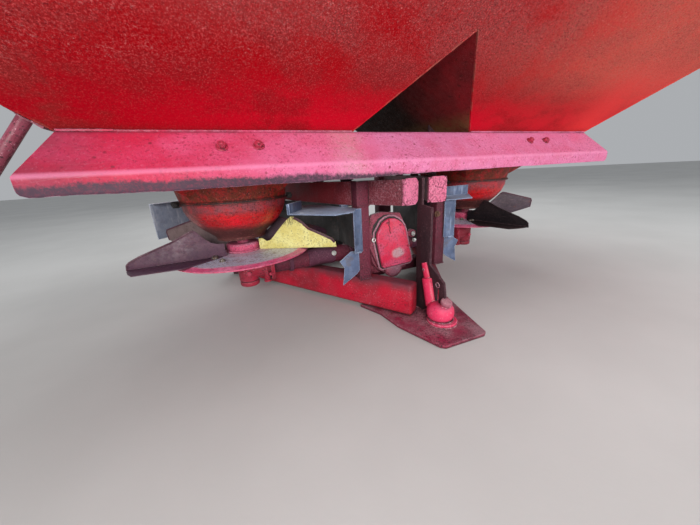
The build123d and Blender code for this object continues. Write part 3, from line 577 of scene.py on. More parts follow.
def make_plastic(name="guard_plastic", a=(0.018, 0.018, 0.018), b=(0.05, 0.047, 0.044)):
    M = Mat(name, rough=0.5, spec=0.4)
    n1 = M.noise(18, 4, 0.65)
    n2 = M.noise(260, 2, 0.6)
    c = M.mix(M.ramp(n1, 0.35, 0.7), a, b)
    c = M.mix(M.mul(M.ramp(M.normal_z(), 0.4, 1.0), M.ramp(n1, 0.3, 0.7), 0.45), c, (0.16, 0.14, 0.12))
    M.colour(c)
    M.rough(M.ramp(n1, 0.3, 0.7, 0.42, 0.7))
    M.bump([(n2, 0.4), (n1, 0.3)], dist=0.0006, strength=0.5)
    return M.m


MAT = {
    "hopper": make_hopper(), "gap": make_gap(), "apron": make_apron(), "cup": make_cup(), "disc": make_disc(),
    "cover": make_cover(), "yellow": make_yellow(),
    "vane": make_vane("vane_brown", (0.072, 0.028, 0.052), (0.114, 0.050, 0.078), (0.104, 0.048, 0.090), edge=(0.075, 0.034, 0.046), streak=(0.13, 0.060, 0.062), metal=0.0),
    "vane_light": make_vane("vane_dusty", (0.13, 0.085, 0.085), (0.19, 0.13, 0.13), (0.20, 0.14, 0.15)),
    "vane_grey": make_vane("vane_grey", (0.050, 0.034, 0.044), (0.080, 0.056, 0.074), (0.11, 0.080, 0.105)),
    # near-black vane finish: painted shade, used on the right rotor's swept and rear vanes
    "vane_black": make_vane("vane_black", (0.012, 0.009, 0.011), (0.026, 0.018, 0.020), (0.04, 0.028, 0.03), edge=(0.10, 0.06, 0.07), streak=(0.07, 0.045, 0.05)),
    "lip": make_vane("vane_edge", (0.060, 0.020, 0.036), (0.10, 0.042, 0.060), (0.11, 0.05, 0.07), edge=(0.13, 0.06, 0.075), streak=(0.14, 0.08, 0.09)),
    # galvanised sheet, plain, with a lit copy (painted light) and a shaded copy (painted shade) of the same sheet
    "galv": make_galv("galvanised_sheet", (0.048, 0.070, 0.130), (0.088, 0.124, 0.222), (0.48, 0.57, 0.76)),
    "galv_lit": make_galv("galvanised_lit", (0.19, 0.235, 0.32), (0.27, 0.32, 0.42), (0.75, 0.78, 0.84), 0.25),
    "galv_dark": make_galv("galvanised_shaded", (0.040, 0.040, 0.040), (0.075, 0.078, 0.080), (0.16, 0.165, 0.17), 0.7),
    "steel": make_steel(), "zinc": make_steel("zinc_bolt", (0.62, 0.62, 0.60), (0.32, 0.30, 0.27), 0.5, 0.35, 0.6),
    "rusty": make_steel("rusty_bolt", (0.16, 0.075, 0.045), (0.07, 0.03, 0.02), 0.1, 0.7, 0.5),
    "bolt_pink": make_steel("painted_bolt", (0.42, 0.030, 0.070), (0.11, 0.014, 0.024), 0.0, 0.45, 0.55),
    "plastic": make_plastic(), "rubber": make_plastic("rubber_band", (0.012, 0.010, 0.010), (0.035, 0.026, 0.024)),
    "frame": painted("frame_paint", (0.135, 0.017, 0.036), (0.070, 0.010, 0.020), (0.19, 0.075, 0.110), dust_top=0.75,
                     scuff=(0.26, 0.11, 0.14), fleck_share=0.52, rough=0.5, chips_and_edge_highlight=0.8),
    "beam": painted("beam_paint", (0.155, 0.024, 0.036), (0.080, 0.015, 0.022), (0.24, 0.12, 0.14), dust_top=0.75,
                    scuff=(0.38, 0.20, 0.24), scuff_share=0.64, fleck_share=0.52, rough=0.55, chips_and_edge_highlight=0.8,
                    zone=(0, -0.17, -0.24, (0.26, 0.022, 0.030))),
    "dark": painted("shaded_paint", (0.045, 0.014, 0.020), (0.025, 0.010, 0.014), (0.12, 0.06, 0.075), dust_top=0.4,
                    scuff=(0.20, 0.09, 0.11), rough=0.6, chips_and_edge_highlight=0.9),
    "bright": painted("bright_paint", (0.47, 0.006, 0.028), (0.27, 0.008, 0.020), (0.24, 0.12, 0.15), dust_top=0.95,
                      scuff=(0.60, 0.22, 0.28), fleck_share=0.57, rough=0.42, chips_and_edge_highlight=0.8, big=6.0,
                      zone=(2, 0.092, 0.124, (0.13, 0.028, 0.042))),
    "cap": painted("cap_paint", (0.64, 0.15, 0.27), (0.56, 0.10, 0.19), (0.60, 0.32, 0.41), dust_top=0.3,
                   fleck=(0.10, 0.012, 0.03), fleck_share=0.49, scuff=(0.82, 0.46, 0.56), rough=0.5),
    "cast": painted("cast_paint", (0.30, 0.050, 0.085), (0.17, 0.030, 0.050), (0.34, 0.19, 0.24), dust_top=0.7,
                    scuff=(0.50, 0.26, 0.32), fleck_share=0.52, rough=0.5),
    "dome": painted("dome_paint", (0.42, 0.045, 0.085), (0.22, 0.10, 0.14), (0.36, 0.22, 0.28), dust_top=0.4,
                    scuff=(0.50, 0.30, 0.36), rough=0.45),
    "flange": painted("flange_paint", (0.42, 0.18, 0.24), (0.26, 0.09, 0.13), (0.44, 0.30, 0.36), dust_top=0.4,
                      scuff=(0.60, 0.42, 0.48), rough=0.5, chips_and_edge_highlight=0.9),
    "purple": painted("purple_paint", (0.095, 0.024, 0.048), (0.055, 0.014, 0.028), (0.20, 0.10, 0.15), dust_top=0.4,
                      scuff=(0.34, 0.16, 0.22), rough=0.5),
    "hub": painted("hub_paint", (0.62, 0.062, 0.165), (0.46, 0.042, 0.100), (0.70, 0.30, 0.42), dust_top=0.7,
                   scuff=(0.80, 0.40, 0.50), rough=0.42),
    "gear": painted("gear_paint", (0.33, 0.012, 0.034), (0.19, 0.010, 0.022), (0.34, 0.10, 0.15), dust_top=0.6,
                    scuff=(0.60, 0.26, 0.32), rough=0.42),
    "plate": painted("plate_paint", (0.26, 0.018, 0.054), (0.13, 0.012, 0.032), (0.33, 0.21, 0.24), dust_top=0.5,
                     scuff=(0.62, 0.34, 0.38), fleck_share=0.52, rough=0.5, rust=(0.15, 0.06, 0.04), chips_and_edge_highlight=0.9),
    "tow": painted("tow_paint", (0.74, 0.034, 0.115), (0.60, 0.016, 0.062), (0.64, 0.18, 0.30), dust_top=0.45,
                   scuff=(0.76, 0.38, 0.48), fleck_share=0.60, rough=0.38, chips_and_edge_highlight=0.8),
    "knob": painted("knob_paint", (0.36, 0.095, 0.145), (0.28, 0.07, 0.105), (0.42, 0.22, 0.25), dust_top=0.5,
                    scuff=(0.74, 0.52, 0.54), fleck_share=0.54, rough=0.5),
    "tube": painted("tube_paint", (0.22, 0.035, 0.062), (0.14, 0.024, 0.038), (0.54, 0.20, 0.30), dust_top=0.7,
                    scuff=(0.75, 0.42, 0.50), rough=0.35),
}


# ------------------------------------------------------------------ mesh helpers
NODE_SLOT = {s["node"]: s["material_slot"] for s in frame["record"]["subparts"]}
STEEL = NODE_SLOT["input_shaft"]


def finish_mesh(name, bm, mats, body, slot=None, smooth=32, replaces=(), pick=None):
    """pick(centre, normal) in raw mm gives the index of a face's material."""
    me = bpy.data.meshes.new(name)
    bmesh.ops.recalc_face_normals(bm, faces=bm.faces)
    bm.to_mesh(me)
    bm.free()
    mats = [mats] if isinstance(mats, str) else mats
    for m in mats:
        me.materials.append(MAT[m])
    if pick:
        for f in me.polygons:
            c = f.center
            f.material_index = pick((c.x * 1000, c.y * 1000 + Y_MID, c.z * 1000 - GROUND), f.normal)
    if smooth:
        me.shade_smooth()
        me.set_sharp_from_angle(angle=radians(smooth))
    o = bpy.data.objects.new(name, me)
    scene.collection.objects.link(o)
    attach(o, body)
    if replaces:
        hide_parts(*replaces)
    return o


def body_of(node):
    return frame["nodes"][node]["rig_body"]


def from_node(node, mats, bevel=2.0, segs=2, angle=28.0, smooth=32, pick=None):
    """The node's shape with its real, rounded edges."""
    bm = bmesh.new()
    bm.from_mesh(frame["nodes"][node].data)
    bmesh.ops.remove_doubles(bm, verts=bm.verts, dist=2e-5)
    bmesh.ops.dissolve_limit(bm, angle_limit=radians(0.5), verts=bm.verts, edges=bm.edges)
    if bevel:
        es = [e for e in bm.edges if len(e.link_faces) == 2 and e.calc_face_angle(0.0) > radians(angle)]
        bmesh.ops.bevel(bm, geom=es, offset=bevel / 1000, offset_type="OFFSET", segments=segs, profile=0.5,
                        affect="EDGES", clamp_overlap=True)
    return finish_mesh("v_" + node, bm, mats, body_of(node), NODE_SLOT[node], smooth, (node,), pick)


def paint(node, mat):
    o = frame["nodes"][node]
    o.data.materials.clear()
    o.data.materials.append(MAT[mat])


class Shape:
    """A mesh of closed shells, built in raw millimetres."""

    def __init__(self, place=None):
        self.bm = bmesh.new()
        self.place = place          # maps a local point to raw millimetres

    def v(self, p):
        return self.bm.verts.new(self.place(*p) if self.place else p)

    def tidy(self, fs, bevel, segs=2, angle=25):
        bmesh.ops.recalc_face_normals(self.bm, faces=fs)
        if bevel:
            es = list({e for f in fs for e in f.edges if len(e.link_faces) == 2 and e.calc_face_angle(0.0) > radians(angle)})
            bmesh.ops.bevel(self.bm, geom=es, offset=bevel, offset_type="OFFSET", segments=segs, profile=0.5,
                            affect="EDGES", clamp_overlap=True)

    def prism(self, pts, axis, lo, hi, bevel=0.0, segs=2):
        ends = []
        for c in (lo, hi):
            ends.append([self.v((c, a, b) if axis == "x" else (a, c, b) if axis == "y" else (a, b, c)) for a, b in pts])
        n = len(pts)
        fs = [self.bm.faces.new(ends[0]), self.bm.faces.new(list(reversed(ends[1])))]
        fs += [self.bm.faces.new((ends[0][i], ends[1][i], ends[1][(i + 1) % n], ends[0][(i + 1) % n])) for i in range(n)]
        self.tidy(fs, bevel, segs)

    def box(self, x0, x1, y0, y1, z0, z1, bevel=0.0):
        self.prism([(x0, y0), (x1, y0), (x1, y1), (x0, y1)], "z", z0, z1, bevel)

    def lathe(self, pts, at, way=(0, 0, 1), n=32, bevel=0.0, segs=2, turn=0.0):
        """pts are (radius, distance along way), open at neither end."""
        way = Vector(way).normalized()
        u = way.orthogonal().normalized()
        w = way.cross(u)
        at = Vector(at)
        rings = []
        for r, t in pts:
            if r < 1e-6:
                rings.append([self.v(tuple(at + way * t))])
            else:
                rings.append([self.v(tuple(at + way * t + (u * cos(2 * pi * k / n + turn) + w * sin(2 * pi * k / n + turn)) * r))
                              for k in range(n)])
        fs = []
        for a, b in zip(rings, rings[1:]):
            for k in range(n):
                k2 = (k + 1) % n
                q = [a[k % len(a)]] + ([a[k2]] if len(a) > 1 else []) + ([b[k2]] if len(b) > 1 else []) + [b[k % len(b)]]
                if len(q) > 2:
                    fs.append(self.bm.faces.new(q))
        for ring in (rings[0], rings[-1]):
            if len(ring) > 1:
                fs.append(self.bm.faces.new(ring))
        self.tidy(fs, bevel, segs)

    def rod(self, p, q, r, r2=None, n=24, bevel=0.0):
        d = Vector(q) - Vector(p)
        self.lathe([(r, 0), (r if r2 is None else r2, d.length)], p, d, n, bevel)

    def torus(self, at, way, big, small, n=40, m=10):
        way = Vector(way).normalized()
        u = way.orthogonal().normalized()
        w = way.cross(u)
        at = Vector(at)
        g = []
        for k in range(n):
            d = u * cos(2 * pi * k / n) + w * sin(2 * pi * k / n)
            g.append([self.v(tuple(at + d * (big + small * cos(2 * pi * j / m)) + way * (small * sin(2 * pi * j / m)))) for j in range(m)])
        for k in range(n):
            for j in range(m):
                self.bm.faces.new((g[k][j], g[(k + 1) % n][j], g[(k + 1) % n][(j + 1) % m], g[k][(j + 1) % m]))

    def wire(self, pts, r, n=8, ripple=0.0):
        """Round bar along a line of points, with the seams of a weld if ripple is given."""
        pts = [Vector(p) for p in pts]
        rings = []
        for i, p in enumerate(pts):
            t = (pts[min(i + 1, len(pts) - 1)] - pts[max(i - 1, 0)]).normalized()
            u = t.cross(Vector((0.13, 0.31, 0.94))).normalized()
            w = t.cross(u)
            rr = r * (1 + ripple * (1 if i % 2 else -1) + (ripple * 1.5 * noise.noise(p * 0.08) if ripple else 0))
            rings.append([self.v(tuple(p + (u * cos(2 * pi * k / n) + w * sin(2 * pi * k / n)) * rr)) for k in range(n)])
        for a, b in zip(rings, rings[1:]):
            for k in range(n):
                self.bm.faces.new((a[k], a[(k + 1) % n], b[(k + 1) % n], b[k]))
        self.bm.faces.new(rings[0])
        self.bm.faces.new(rings[-1])

    def weld(self, p, q, r=2.6, step=3.2):
        p, q = Vector(p), Vector(q)
        n = max(2, int((q - p).length / step))
        self.wire([p.lerp(q, i / n) for i in range(n + 1)], r, 7, 0.13)

    def bolt(self, at, way, across=19.0, h=8.0, washer=2.2, stud=0.0, turn=0.3):
        """Hexagon head or nut with a washer, and a thread end if stud is given."""
        r = across / 1.732
        at = Vector(at) - Vector(way).normalized() * 0.6
        if washer:
            self.lathe([(r * 1.28, 0), (r * 1.28, washer * 0.7), (r * 1.18, washer)], at, way, 28)
        w = Vector(way).normalized()
        a2 = at + w * washer
        self.lathe([(r, 0), (r, h * 0.86), (r * 0.90, h)], a2, way, 6, turn=turn)
        self.lathe([(r * 0.80, 0), (r * 0.80, h * 1.03)], a2, way, 20)
        if stud:
            self.lathe([(r * 0.46, 0), (r * 0.46, h + stud - 1.2), (r * 0.36, h + stud)], a2, way, 14)

    def done(self, name, mats, body="frame", slot=None, smooth=32, replaces=(), pick=None):
        for v in self.bm.verts:
            v.co = R(*v.co)
        return finish_mesh(name, self.bm, mats, body, slot or STEEL, smooth, replaces, pick)


def both(fn):
    for s in (-1, 1):
        fn(s, "left" if s < 0 else "right")


# ------------------------------------------------------------------ finishes of the frame's nodes
FINISH = {
    "hopper_rear_wall": "hopper", "hopper_front_wall": "hopper", "hopper_left_wall": "hopper", "hopper_right_wall": "hopper",
    "hopper_saddle": "gap", "hopper_rim": "hopper", "funnel_left": "cup", "funnel_right": "cup",
    "cup_bowl_left": "cup", "cup_bowl_right": "cup", "cup_ring_left": "cup", "cup_ring_right": "cup",
    "disc_left": "disc", "disc_right": "disc", "drive_tube_left": "frame", "drive_tube_right": "frame",
    "input_shaft": "steel", "input_guard": "plastic", "side_arm": "tube",
}
for n in frame["nodes"]:
    paint(n, FINISH.get(n, "frame"))

# nodes shown with their edges rounded: node, finish, radius
ROUNDED = [
    ("hopper_rim", "hopper", 4.0), ("lower_beam_left", "bright", 11.0), ("lower_beam_right", "bright", 11.0),
    ("side_posts", "frame", 3.5), ("centre_plate", "dark", 1.2), ("foot_plate", "plate", 3.0), ("front_beam", "frame", 5.0),
    ("front_feet", "frame", 3.0), ("upright_left", "frame", 5.0), ("upright_right", "frame", 5.0),
    ("link_pin_left", "frame", 2.0), ("link_pin_right", "frame", 2.0), ("gearbox_cradle", "frame", 4.0),
    ("gearbox_left", "gear", 2.0), ("gearbox_right", "gear", 2.0), ("gearbox_centre", "cast", 3.0), ("gearbox_plate", "cast", 4.0),
    ("hub_left", "hub", 1.5), ("hub_right", "hub", 1.5), ("hopper_brackets", "dark", 1.0), ("apron_brackets", "dark", 1.0),
    ("guard_left", "galv", 0.8), ("guard_right", "galv", 0.8), ("side_arm", "tube", 1.5),
]
for node, mat, w in ROUNDED:
    from_node(node, mat, w, 3 if w > 2.5 else 2)


def cap_or_beam(c, nrm):
    """The beam's end plate has its own colour."""
    x, y = abs(c[0]), c[1]
    d = (x - 22.0) * 0.2186 + (y + 46.0) * 0.9758
    return 1 if d < 8.2 and y < -30 else 0


both(lambda s, side: from_node("upper_beam_" + side, ["beam", "cap"], 4.0, 3, pick=cap_or_beam))
# front guards: the outer end panel gets the lit copy and the rest the shaded copy, painted light and shade
both(lambda s, side: from_node("front_guard_" + side, ["galv_dark", "galv_lit"], 0.9, 2,
                               pick=lambda c, n: 1 if abs(c[0]) > 769 and c[1] < 745 else 0))

# ------------------------------------------------------------------ apron: folded sheet with a wavy lower edge
A_TOP, A_BEND, A_LIP = (-2.5, -0.5), (-82.0, -88.0), (-79.0, -128.0)       # y, z of the outer face


def lip_z(x):
    """Height of the lower edge along the apron."""
    side = max(0.0, min(1.0, (-x - 700) / 200)) * 4.0 + max(0.0, min(1.0, (x + 280) / 300)) * 5.0
    return -131.5 + side + 1.5 * noise.noise(Vector((x * 0.011, 3.1, 0))) + 0.7 * noise.noise(Vector((x * 0.06, 1.1, 0)))


def make_apron_sheet():
    prof = []                                     # y, z, share of the lip
    r = 9.0
    a0 = Vector(A_TOP); b0 = Vector(A_BEND); c0 = Vector(A_LIP)
    d1, d2 = (b0 - a0).normalized(), (c0 - b0).normalized()
    for k in range(9):
        p = a0.lerp(b0 - d1 * r, k / 8)
        prof.append((p.x, p.y, 0.0))
    for k in range(1, 7):
        t = k / 7
        p = (b0 - d1 * r) * (1 - t) ** 2 + b0 * 2 * t * (1 - t) + (b0 + d2 * r) * t * t
        prof.append((p.x, p.y, 0.0))
    for k in range(7):
        p = (b0 + d2 * r).lerp(c0, k / 6)
        prof.append((p.x, p.y, k / 6))
    sh = Shape()
    N = 190
    rows = []
    for y, z, f in prof:
        row = []
        for i in range(N + 1):
            u = -1 + 2 * i / N
            half = 900 + 57 * min(1.0, max(0.0, -z / 88.0)) + 2.0 * f
            rad = 16.0
            dz = (-z) - (128.0 - rad)
            if f > 0 and dz > 0:                  # rounded outer corner
                half -= rad - math.sqrt(max(0.0, rad * rad - min(dz, rad) ** 2))
            x = u * half
            zz = z + f * f * (lip_z(x) + 128.0)
            dent = 1.6 * noise.noise(Vector((x * 0.0032, y * 0.01, 1.7))) + 0.5 * noise.noise(Vector((x * 0.018, z * 0.02, 4.2)))
            k = 0.0 if z > -6 else 1.0
            row.append(sh.v((x, y - dent * 0.6 * k, zz + dent * 0.3 * k * (1 - f))))
        rows.append(row)
    for ra, rb in zip(rows, rows[1:]):
        for i in range(N):
            sh.bm.faces.new((ra[i], ra[i + 1], rb[i + 1], rb[i]))
    bmesh.ops.recalc_face_normals(sh.bm, faces=sh.bm.faces)
    up = sum(f.normal.y for f in sh.bm.faces)
    if up > 0:
        bmesh.ops.reverse_faces(sh.bm, faces=sh.bm.faces)
    bmesh.ops.solidify(sh.bm, geom=sh.bm.faces[:], thickness=3.6)
    es = [e for e in sh.bm.edges if len(e.link_faces) == 2 and e.calc_face_angle(0.0) > radians(60)]
    bmesh.ops.bevel(sh.bm, geom=es, offset=0.9, offset_type="OFFSET", segments=2, profile=0.5, affect="EDGES", clamp_overlap=True)
    sh.done("v_apron", "apron", slot=NODE_SLOT["apron"], smooth=40, replaces=("apron",))
    # bead that joins it to the hopper, and the thin flange over it at both ends
    w = Shape()
    for s in (-1, 1):
        w.weld((s * 232, -3.2, 0.5), (s * 893, -3.2, 0.5), 2.4)
    w.done("apron_weld", "apron", slot=NODE_SLOT["apron"])
    t = Shape()
    t.box(-898, -800, -7.5, -1.5, -1.0, 3.4, 0.8)
    t.box(840, 898, -7.5, -1.5, -1.0, 3.0, 0.8)
    t.done("apron_top_strip", "apron", slot=NODE_SLOT["apron"])
    b = Shape()
    n = (d1.y, -d1.x)                              # outwards from the slope: y, z
    n = (n[0], n[1]) if n[0] < 0 else (-n[0], -n[1])
    for x, t, turn in APRON_BOLTS:
        p = a0.lerp(b0, t)
        b.bolt((x, p.x + n[0] * 0.6, p.y + n[1] * 0.6), (0, n[0], n[1]), 19, 8.5, 2.4, 3.0, turn)
    b.done("apron_bolts", "bolt_pink")


# x, share of the way down the slope, turn of the head
APRON_BOLTS = ((-591, 0.44, 0.3), (-505, 0.43, 0.9), (508, 0.40, 0.6), (598, 0.41, 0.1))
make_apron_sheet()

# ------------------------------------------------------------------ hopper: beads along its seams
KX, KR, HXW = 1.1672, 1.2266, 900.0


def hopper_seams():
    w = Shape()
    for s in (-1, 1):
        w.weld((s * 901, -0.5, 2), (s * (HXW + KX * 298), -KR * 298, 298), 3.2, 4.0)
        w.weld((s * (HXW + KX * 300), -KR * 300, 300), (s * (HXW + KX * 300), -KR * 300, 517), 3.0, 4.0)
        w.weld((s * (HXW + KX * 298), 613 + 0.693 * 298, 298), (s * 901, 613.5, 2), 3.2, 4.0)
        w.weld((s * 229, -1.2, 1), (s * 2, -KR * 184 - 1.0, 184.5), 2.2, 3.4)
    w.done("hopper_seams", "hopper", slot=NODE_SLOT["hopper_rear_wall"])


hopper_seams()

# ------------------------------------------------------------------ cups: clamp ring, lugs and lower lip
DX, DY, Z_DISC = 572.5, 328.0, -379.0


def cup_trim(s, side):
    cx = s * DX
    ring = Shape()
    ring.lathe([(186.6, 0), (189.4, 0.4), (189.4, 2.6), (186.6, 3.0)], (cx, DY, -185.6), n=96)
    # lugs of the clamp, on the side towards the camera's left and towards the middle
    for ang in (196, 352):
        a = radians(ang)
        d = Vector((cos(a), sin(a), 0))
        t = Vector((-sin(a), cos(a), 0))
        for k in (-1, 1):
            c = Vector((cx, DY, -184)) + d * 196 + t * (k * 7)
            q = [c + d * i - t * 1.8 for i in (-9, 10)] + [c + d * i + t * 1.8 for i in (10, -9)]
            ring.prism([(p.x, p.y) for p in q], "z", -195, -174, 0.8)
        c = Vector((cx, DY, -184)) + d * 199
        ring.rod(tuple(c - t * 20), tuple(c + t * 20), 3.6, n=12)
        ring.bolt(tuple(c + t * 9), tuple(t), 13, 6, 1.5, 4)
        ring.bolt(tuple(c - t * 9), tuple(-t), 13, 6, 1.5, 0)
    ring.done("cup_clamp_" + side, "rubber", slot=NODE_SLOT["cup_ring_" + side])
    lip = Shape()
    lip.torus((cx, DY, -323.4), (0, 0, 1), 88.6, 1.9, 72, 8)
    for k in range(6):                                      # screws round the ring's flange
        a = radians(20 + 60 * k + (8 if s > 0 else 0))
        lip.bolt((cx + 184.6 * cos(a), DY + 184.6 * sin(a), -188.0), (0, 0, -1), 8, 3.6, 0)
    lip.done("cup_lip_" + side, "cup", slot=NODE_SLOT["cup_bowl_" + side])


both(cup_trim)

# ------------------------------------------------------------------ vanes
TV = 3.0
LOW = [(66, Z_DISC + 3), (66, -337), (82, -336), (98, -349), (115, -344), (150, -307), (180, -276), (197, -262), (208, -257),
       (217, -259), (228, -264), (250, -279), (269, -300), (331, -330), (355, -343), (368, -357), (371, Z_DISC), (230, Z_DISC), (66, Z_DISC)]
SWEPT = [(66, Z_DISC + 3), (66, -332), (87, -331), (106, -324), (125, -308), (146, -280), (155, -272), (166, -275), (228, -303), (325, -336),
         (357, -351), (366, -360), (369, Z_DISC), (66, Z_DISC)]
HIGH = [(66, Z_DISC + 3), (66, -345), (96, -345), (190, -264), (205, -257), (222, -260), (368, -300), (374, -312), (370, -347), (243, Z_DISC), (66, Z_DISC)]
F_CLEAN = [(66, -3), (362, -3), (364, 20), (354, 32), (90, 26), (66, 18)]
F_SWEPT = [(80, -3), (366, -3), (362, 24), (352, 54), (336, 84), (196, 92), (182, 86), (80, 14)]
F_HIGH = [(68, -3), (242, -3), (240, 28), (230, 34), (90, 26), (68, 18)]
# kind, angle on the left disc, angle on the right disc, web offset, web, flange, ends of the folded edge, bolts (along, across)
VANES = (
    ("clean", 330.0, 330.0, 0.0, LOW, F_CLEAN, (9, 16), ((92, 13), (235, 15))),
    ("swept", 180.0, 180.0, 70.0, SWEPT, F_SWEPT, (6, 13), ((104, 8), (104, 22))),
    ("rear", 0.0, 0.0, 70.0, SWEPT, F_SWEPT, (6, 12), ((108, 10), (220, 40))),
    ("high", 141.0, 118.0, 0.0, HIGH, F_HIGH, (3, 9), ((92, 13), (215, 16))),
)


def on_left(angle):
    a = radians(angle)
    return lambda r, off, z: (-DX + r * cos(a) - off * sin(a), DY + r * sin(a) + off * cos(a), z)


def on_right(angle):
    f, a = on_left(angle), radians(-82.0)

    def g(r, off, z):
        x, y, z = f(r, off, z)
        dx, dy = -x - DX, y - DY
        return (DX + dx * cos(a) - dy * sin(a), DY + dx * sin(a) + dy * cos(a), z)
    return g


def edge_band(outline, i0, i1, w):
    """Strip w wide along the outline's upper edge."""
    top = outline[i0:i1]
    low = []
    for k, p in enumerate(top):
        a, b = Vector(top[max(k - 1, 0)]), Vector(top[min(k + 1, len(top) - 1)])
        t = (b - a).normalized()
        low.append((p[0] + t.y * w, p[1] - t.x * w))
    return top + low[::-1]


def make_vane_set(side):
    groups = {}
    # the right rotor's swept and rear vanes get the near-black copy: painted shade
    tone = {"left": {"clean": "yellow", "swept": "vane", "rear": "vane", "high": "vane_light"},
            "right": {"clean": "vane_grey", "swept": "vane_black", "rear": "vane_black", "high": "vane_grey"}}[side]
    body = "rotor_" + side
    first = True
    for kind, al, ar, off, web, flange, (e0, e1), bolts in VANES:
        place = on_left(al) if side == "left" else on_right(ar)
        sh = Shape(place)
        sh.prism(web, "y", off - TV, off, 0.7)
        sh.prism([(a, off + b) for a, b in flange], "z", Z_DISC + 0.2, Z_DISC + TV + 0.2, 0.8)
        sh.rod((flange[0][0] + 4, off - 1.2, Z_DISC + 2.6), (flange[1][0] - 3, off - 1.2, Z_DISC + 2.6), 2.7, n=12)
        node = "vane_left_clean" if kind == "clean" and side == "left" else "vanes_" + side
        reps = ()
        if node == "vane_left_clean":
            reps = (node,)
        elif first:
            reps, first = ("vanes_" + side,), False
        sh.done(f"vane_{side}_{kind}", tone[kind], body, NODE_SLOT[node], replaces=reps)
        lip = Shape(place)
        near = kind in ("clean", "high")
        band = edge_band(web, e0, e1, 9.0 if kind == "clean" else 6.0)
        lo, hi = (off - TV - 1.6, off + 0.8) if near else (off - TV - 0.8, off + 1.4)
        lip.prism(band, "y", lo, hi, 0.5)
        lip.done(f"vane_edge_{side}_{kind}", "lip" if tone[kind] != "vane_black" else "vane_black", body, NODE_SLOT[node])
        b = Shape(place)
        for a, c in bolts:
            b.bolt((a, off + c, Z_DISC + TV + 0.2), (0, 0, 1), 16, 4.5, 1.6, 0)
        b.done(f"vane_bolts_{side}_{kind}", "steel", body)


make_vane_set("left")
make_vane_set("right")


def rotor_trim(s, side):
    b = Shape()
    for t in (0, 180):                                      # heads on the disc
        for r, a in ((95.0, 142.0), (159.0, 120.0)):
            a = radians(180 + 360 - a + 82 * (s > 0) + t) if s < 0 else radians(a + 75 + t)
            b.bolt((s * DX + r * cos(a), DY + r * sin(a), Z_DISC), (0, 0, 1), 15, 6.5, 1.8, 3)
    b.done("hub_nuts_" + side, "steel", "rotor_" + side)
    c = Shape()
    c.torus((s * DX, DY, Z_DISC - 8.0), (0, 0, 1), 250.2, 2.3, 128, 8)      # rolled rim
    c.lathe([(62.0, 0), (66.5, 0), (66.5, 3.0), (64.5, 4.6), (62.0, 4.6)], (s * DX, DY, Z_DISC + 0.1), n=64)
    c.done("disc_rim_" + side, "hub", "rotor_" + side, NODE_SLOT["disc_" + side])


both(rotor_trim)

# ------------------------------------------------------------------ drive line
def gearbox_trim(s, side):
    b = Shape()
    for k in range(6):
        a = radians(15 + 60 * k)
        b.bolt((s * DX + 50 * cos(a), DY + 50 * sin(a), -400.4), (0, 0, -1), 13, 6.5, 1.6, 2)
    x0 = s * (DX - 84.0)
    for k in range(6):
        a = radians(30 + 60 * k)
        b.bolt((x0, DY + 51.5 * cos(a), -460 + 51.5 * sin(a)), (s, 0, 0), 13, 6.5, 1.6, 2)
    b.bolt((s * DX, DY - 38.0, -470.0), (0, -1, 0), 17, 8, 2)                 # level plug
    b.done("gearbox_bolts_" + side, "bolt_pink")
    g = Shape()
    g.torus((s * DX, DY, -505.5), (0, 0, 1), 33.5, 2.6, 56, 8)
    g.lathe([(12.2, 0), (15.0, 1.0), (15.0, 8), (12.2, 9)], (s * (DX - 68), DY - 30, -519), n=28)
    g.torus((s * DX, DY, -430), (0, 0, 1), 38.2, 1.6, 56, 8)
    g.lathe([(28.5, 0), (33.5, 0.6), (36.5, 3.0), (37.4, 7.0), (37.4, 17.0), (36.2, 19.0), (29.8, 19.6)], (s * DX, DY, -529.0), n=56)
    g.done("gearbox_beads_" + side, "gear", slot=NODE_SLOT["gearbox_" + side])
    t = Shape()
    for x in (118, 392):                                                  # clamping collars
        t.lathe([(37.2, 0), (42.5, 0), (43.5, 1.5), (43.5, 14.5), (42.5, 16), (37.2, 16)], (s * x, DY, -460), (s, 0, 0), 48)
    t.lathe([(37.0, 0), (39.5, 1), (39.5, 118), (37.0, 119)], (s * 206, DY, -460), (s, 0, 0), 48)
    t.done("drive_tube_collars_" + side, "purple", slot=NODE_SLOT["drive_tube_" + side])
    z = Shape()
    z.bolt((s * 212, DY - 38.5, -446), (0, -1, 0.35), 15, 7, 1.8, 3)
    z.done("drive_tube_bolts_" + side, "zinc")


both(gearbox_trim)

# cover of the centre gearbox: front face, flange round it, crack and hardware
FACE = [(-83, -350), (-80, -368), (-76, -340), (-57, -310), (-40, -299), (-23, -294), (0, -296), (19, -306), (36, -319), (47, -335),
        (55, -357), (64, -396), (86, -487), (79, -495), (-54, -501), (-62, -494), (-84, -384)]
FACE = [p for p in FACE if p != (-80, -368)]


def grow(pts, d):
    out = []
    n = len(pts)
    area = sum(pts[i][0] * pts[(i + 1) % n][1] - pts[(i + 1) % n][0] * pts[i][1] for i in range(n))
    sgn = 1 if area > 0 else -1
    for i in range(n):
        a, b, c = Vector(pts[i - 1]), Vector(pts[i]), Vector(pts[(i + 1) % n])
        t1, t2 = (b - a).normalized(), (c - b).normalized()
        m = (t1 + t2).normalized()
        out.append((b.x + m.y * d * sgn, b.y - m.x * d * sgn))
    return out


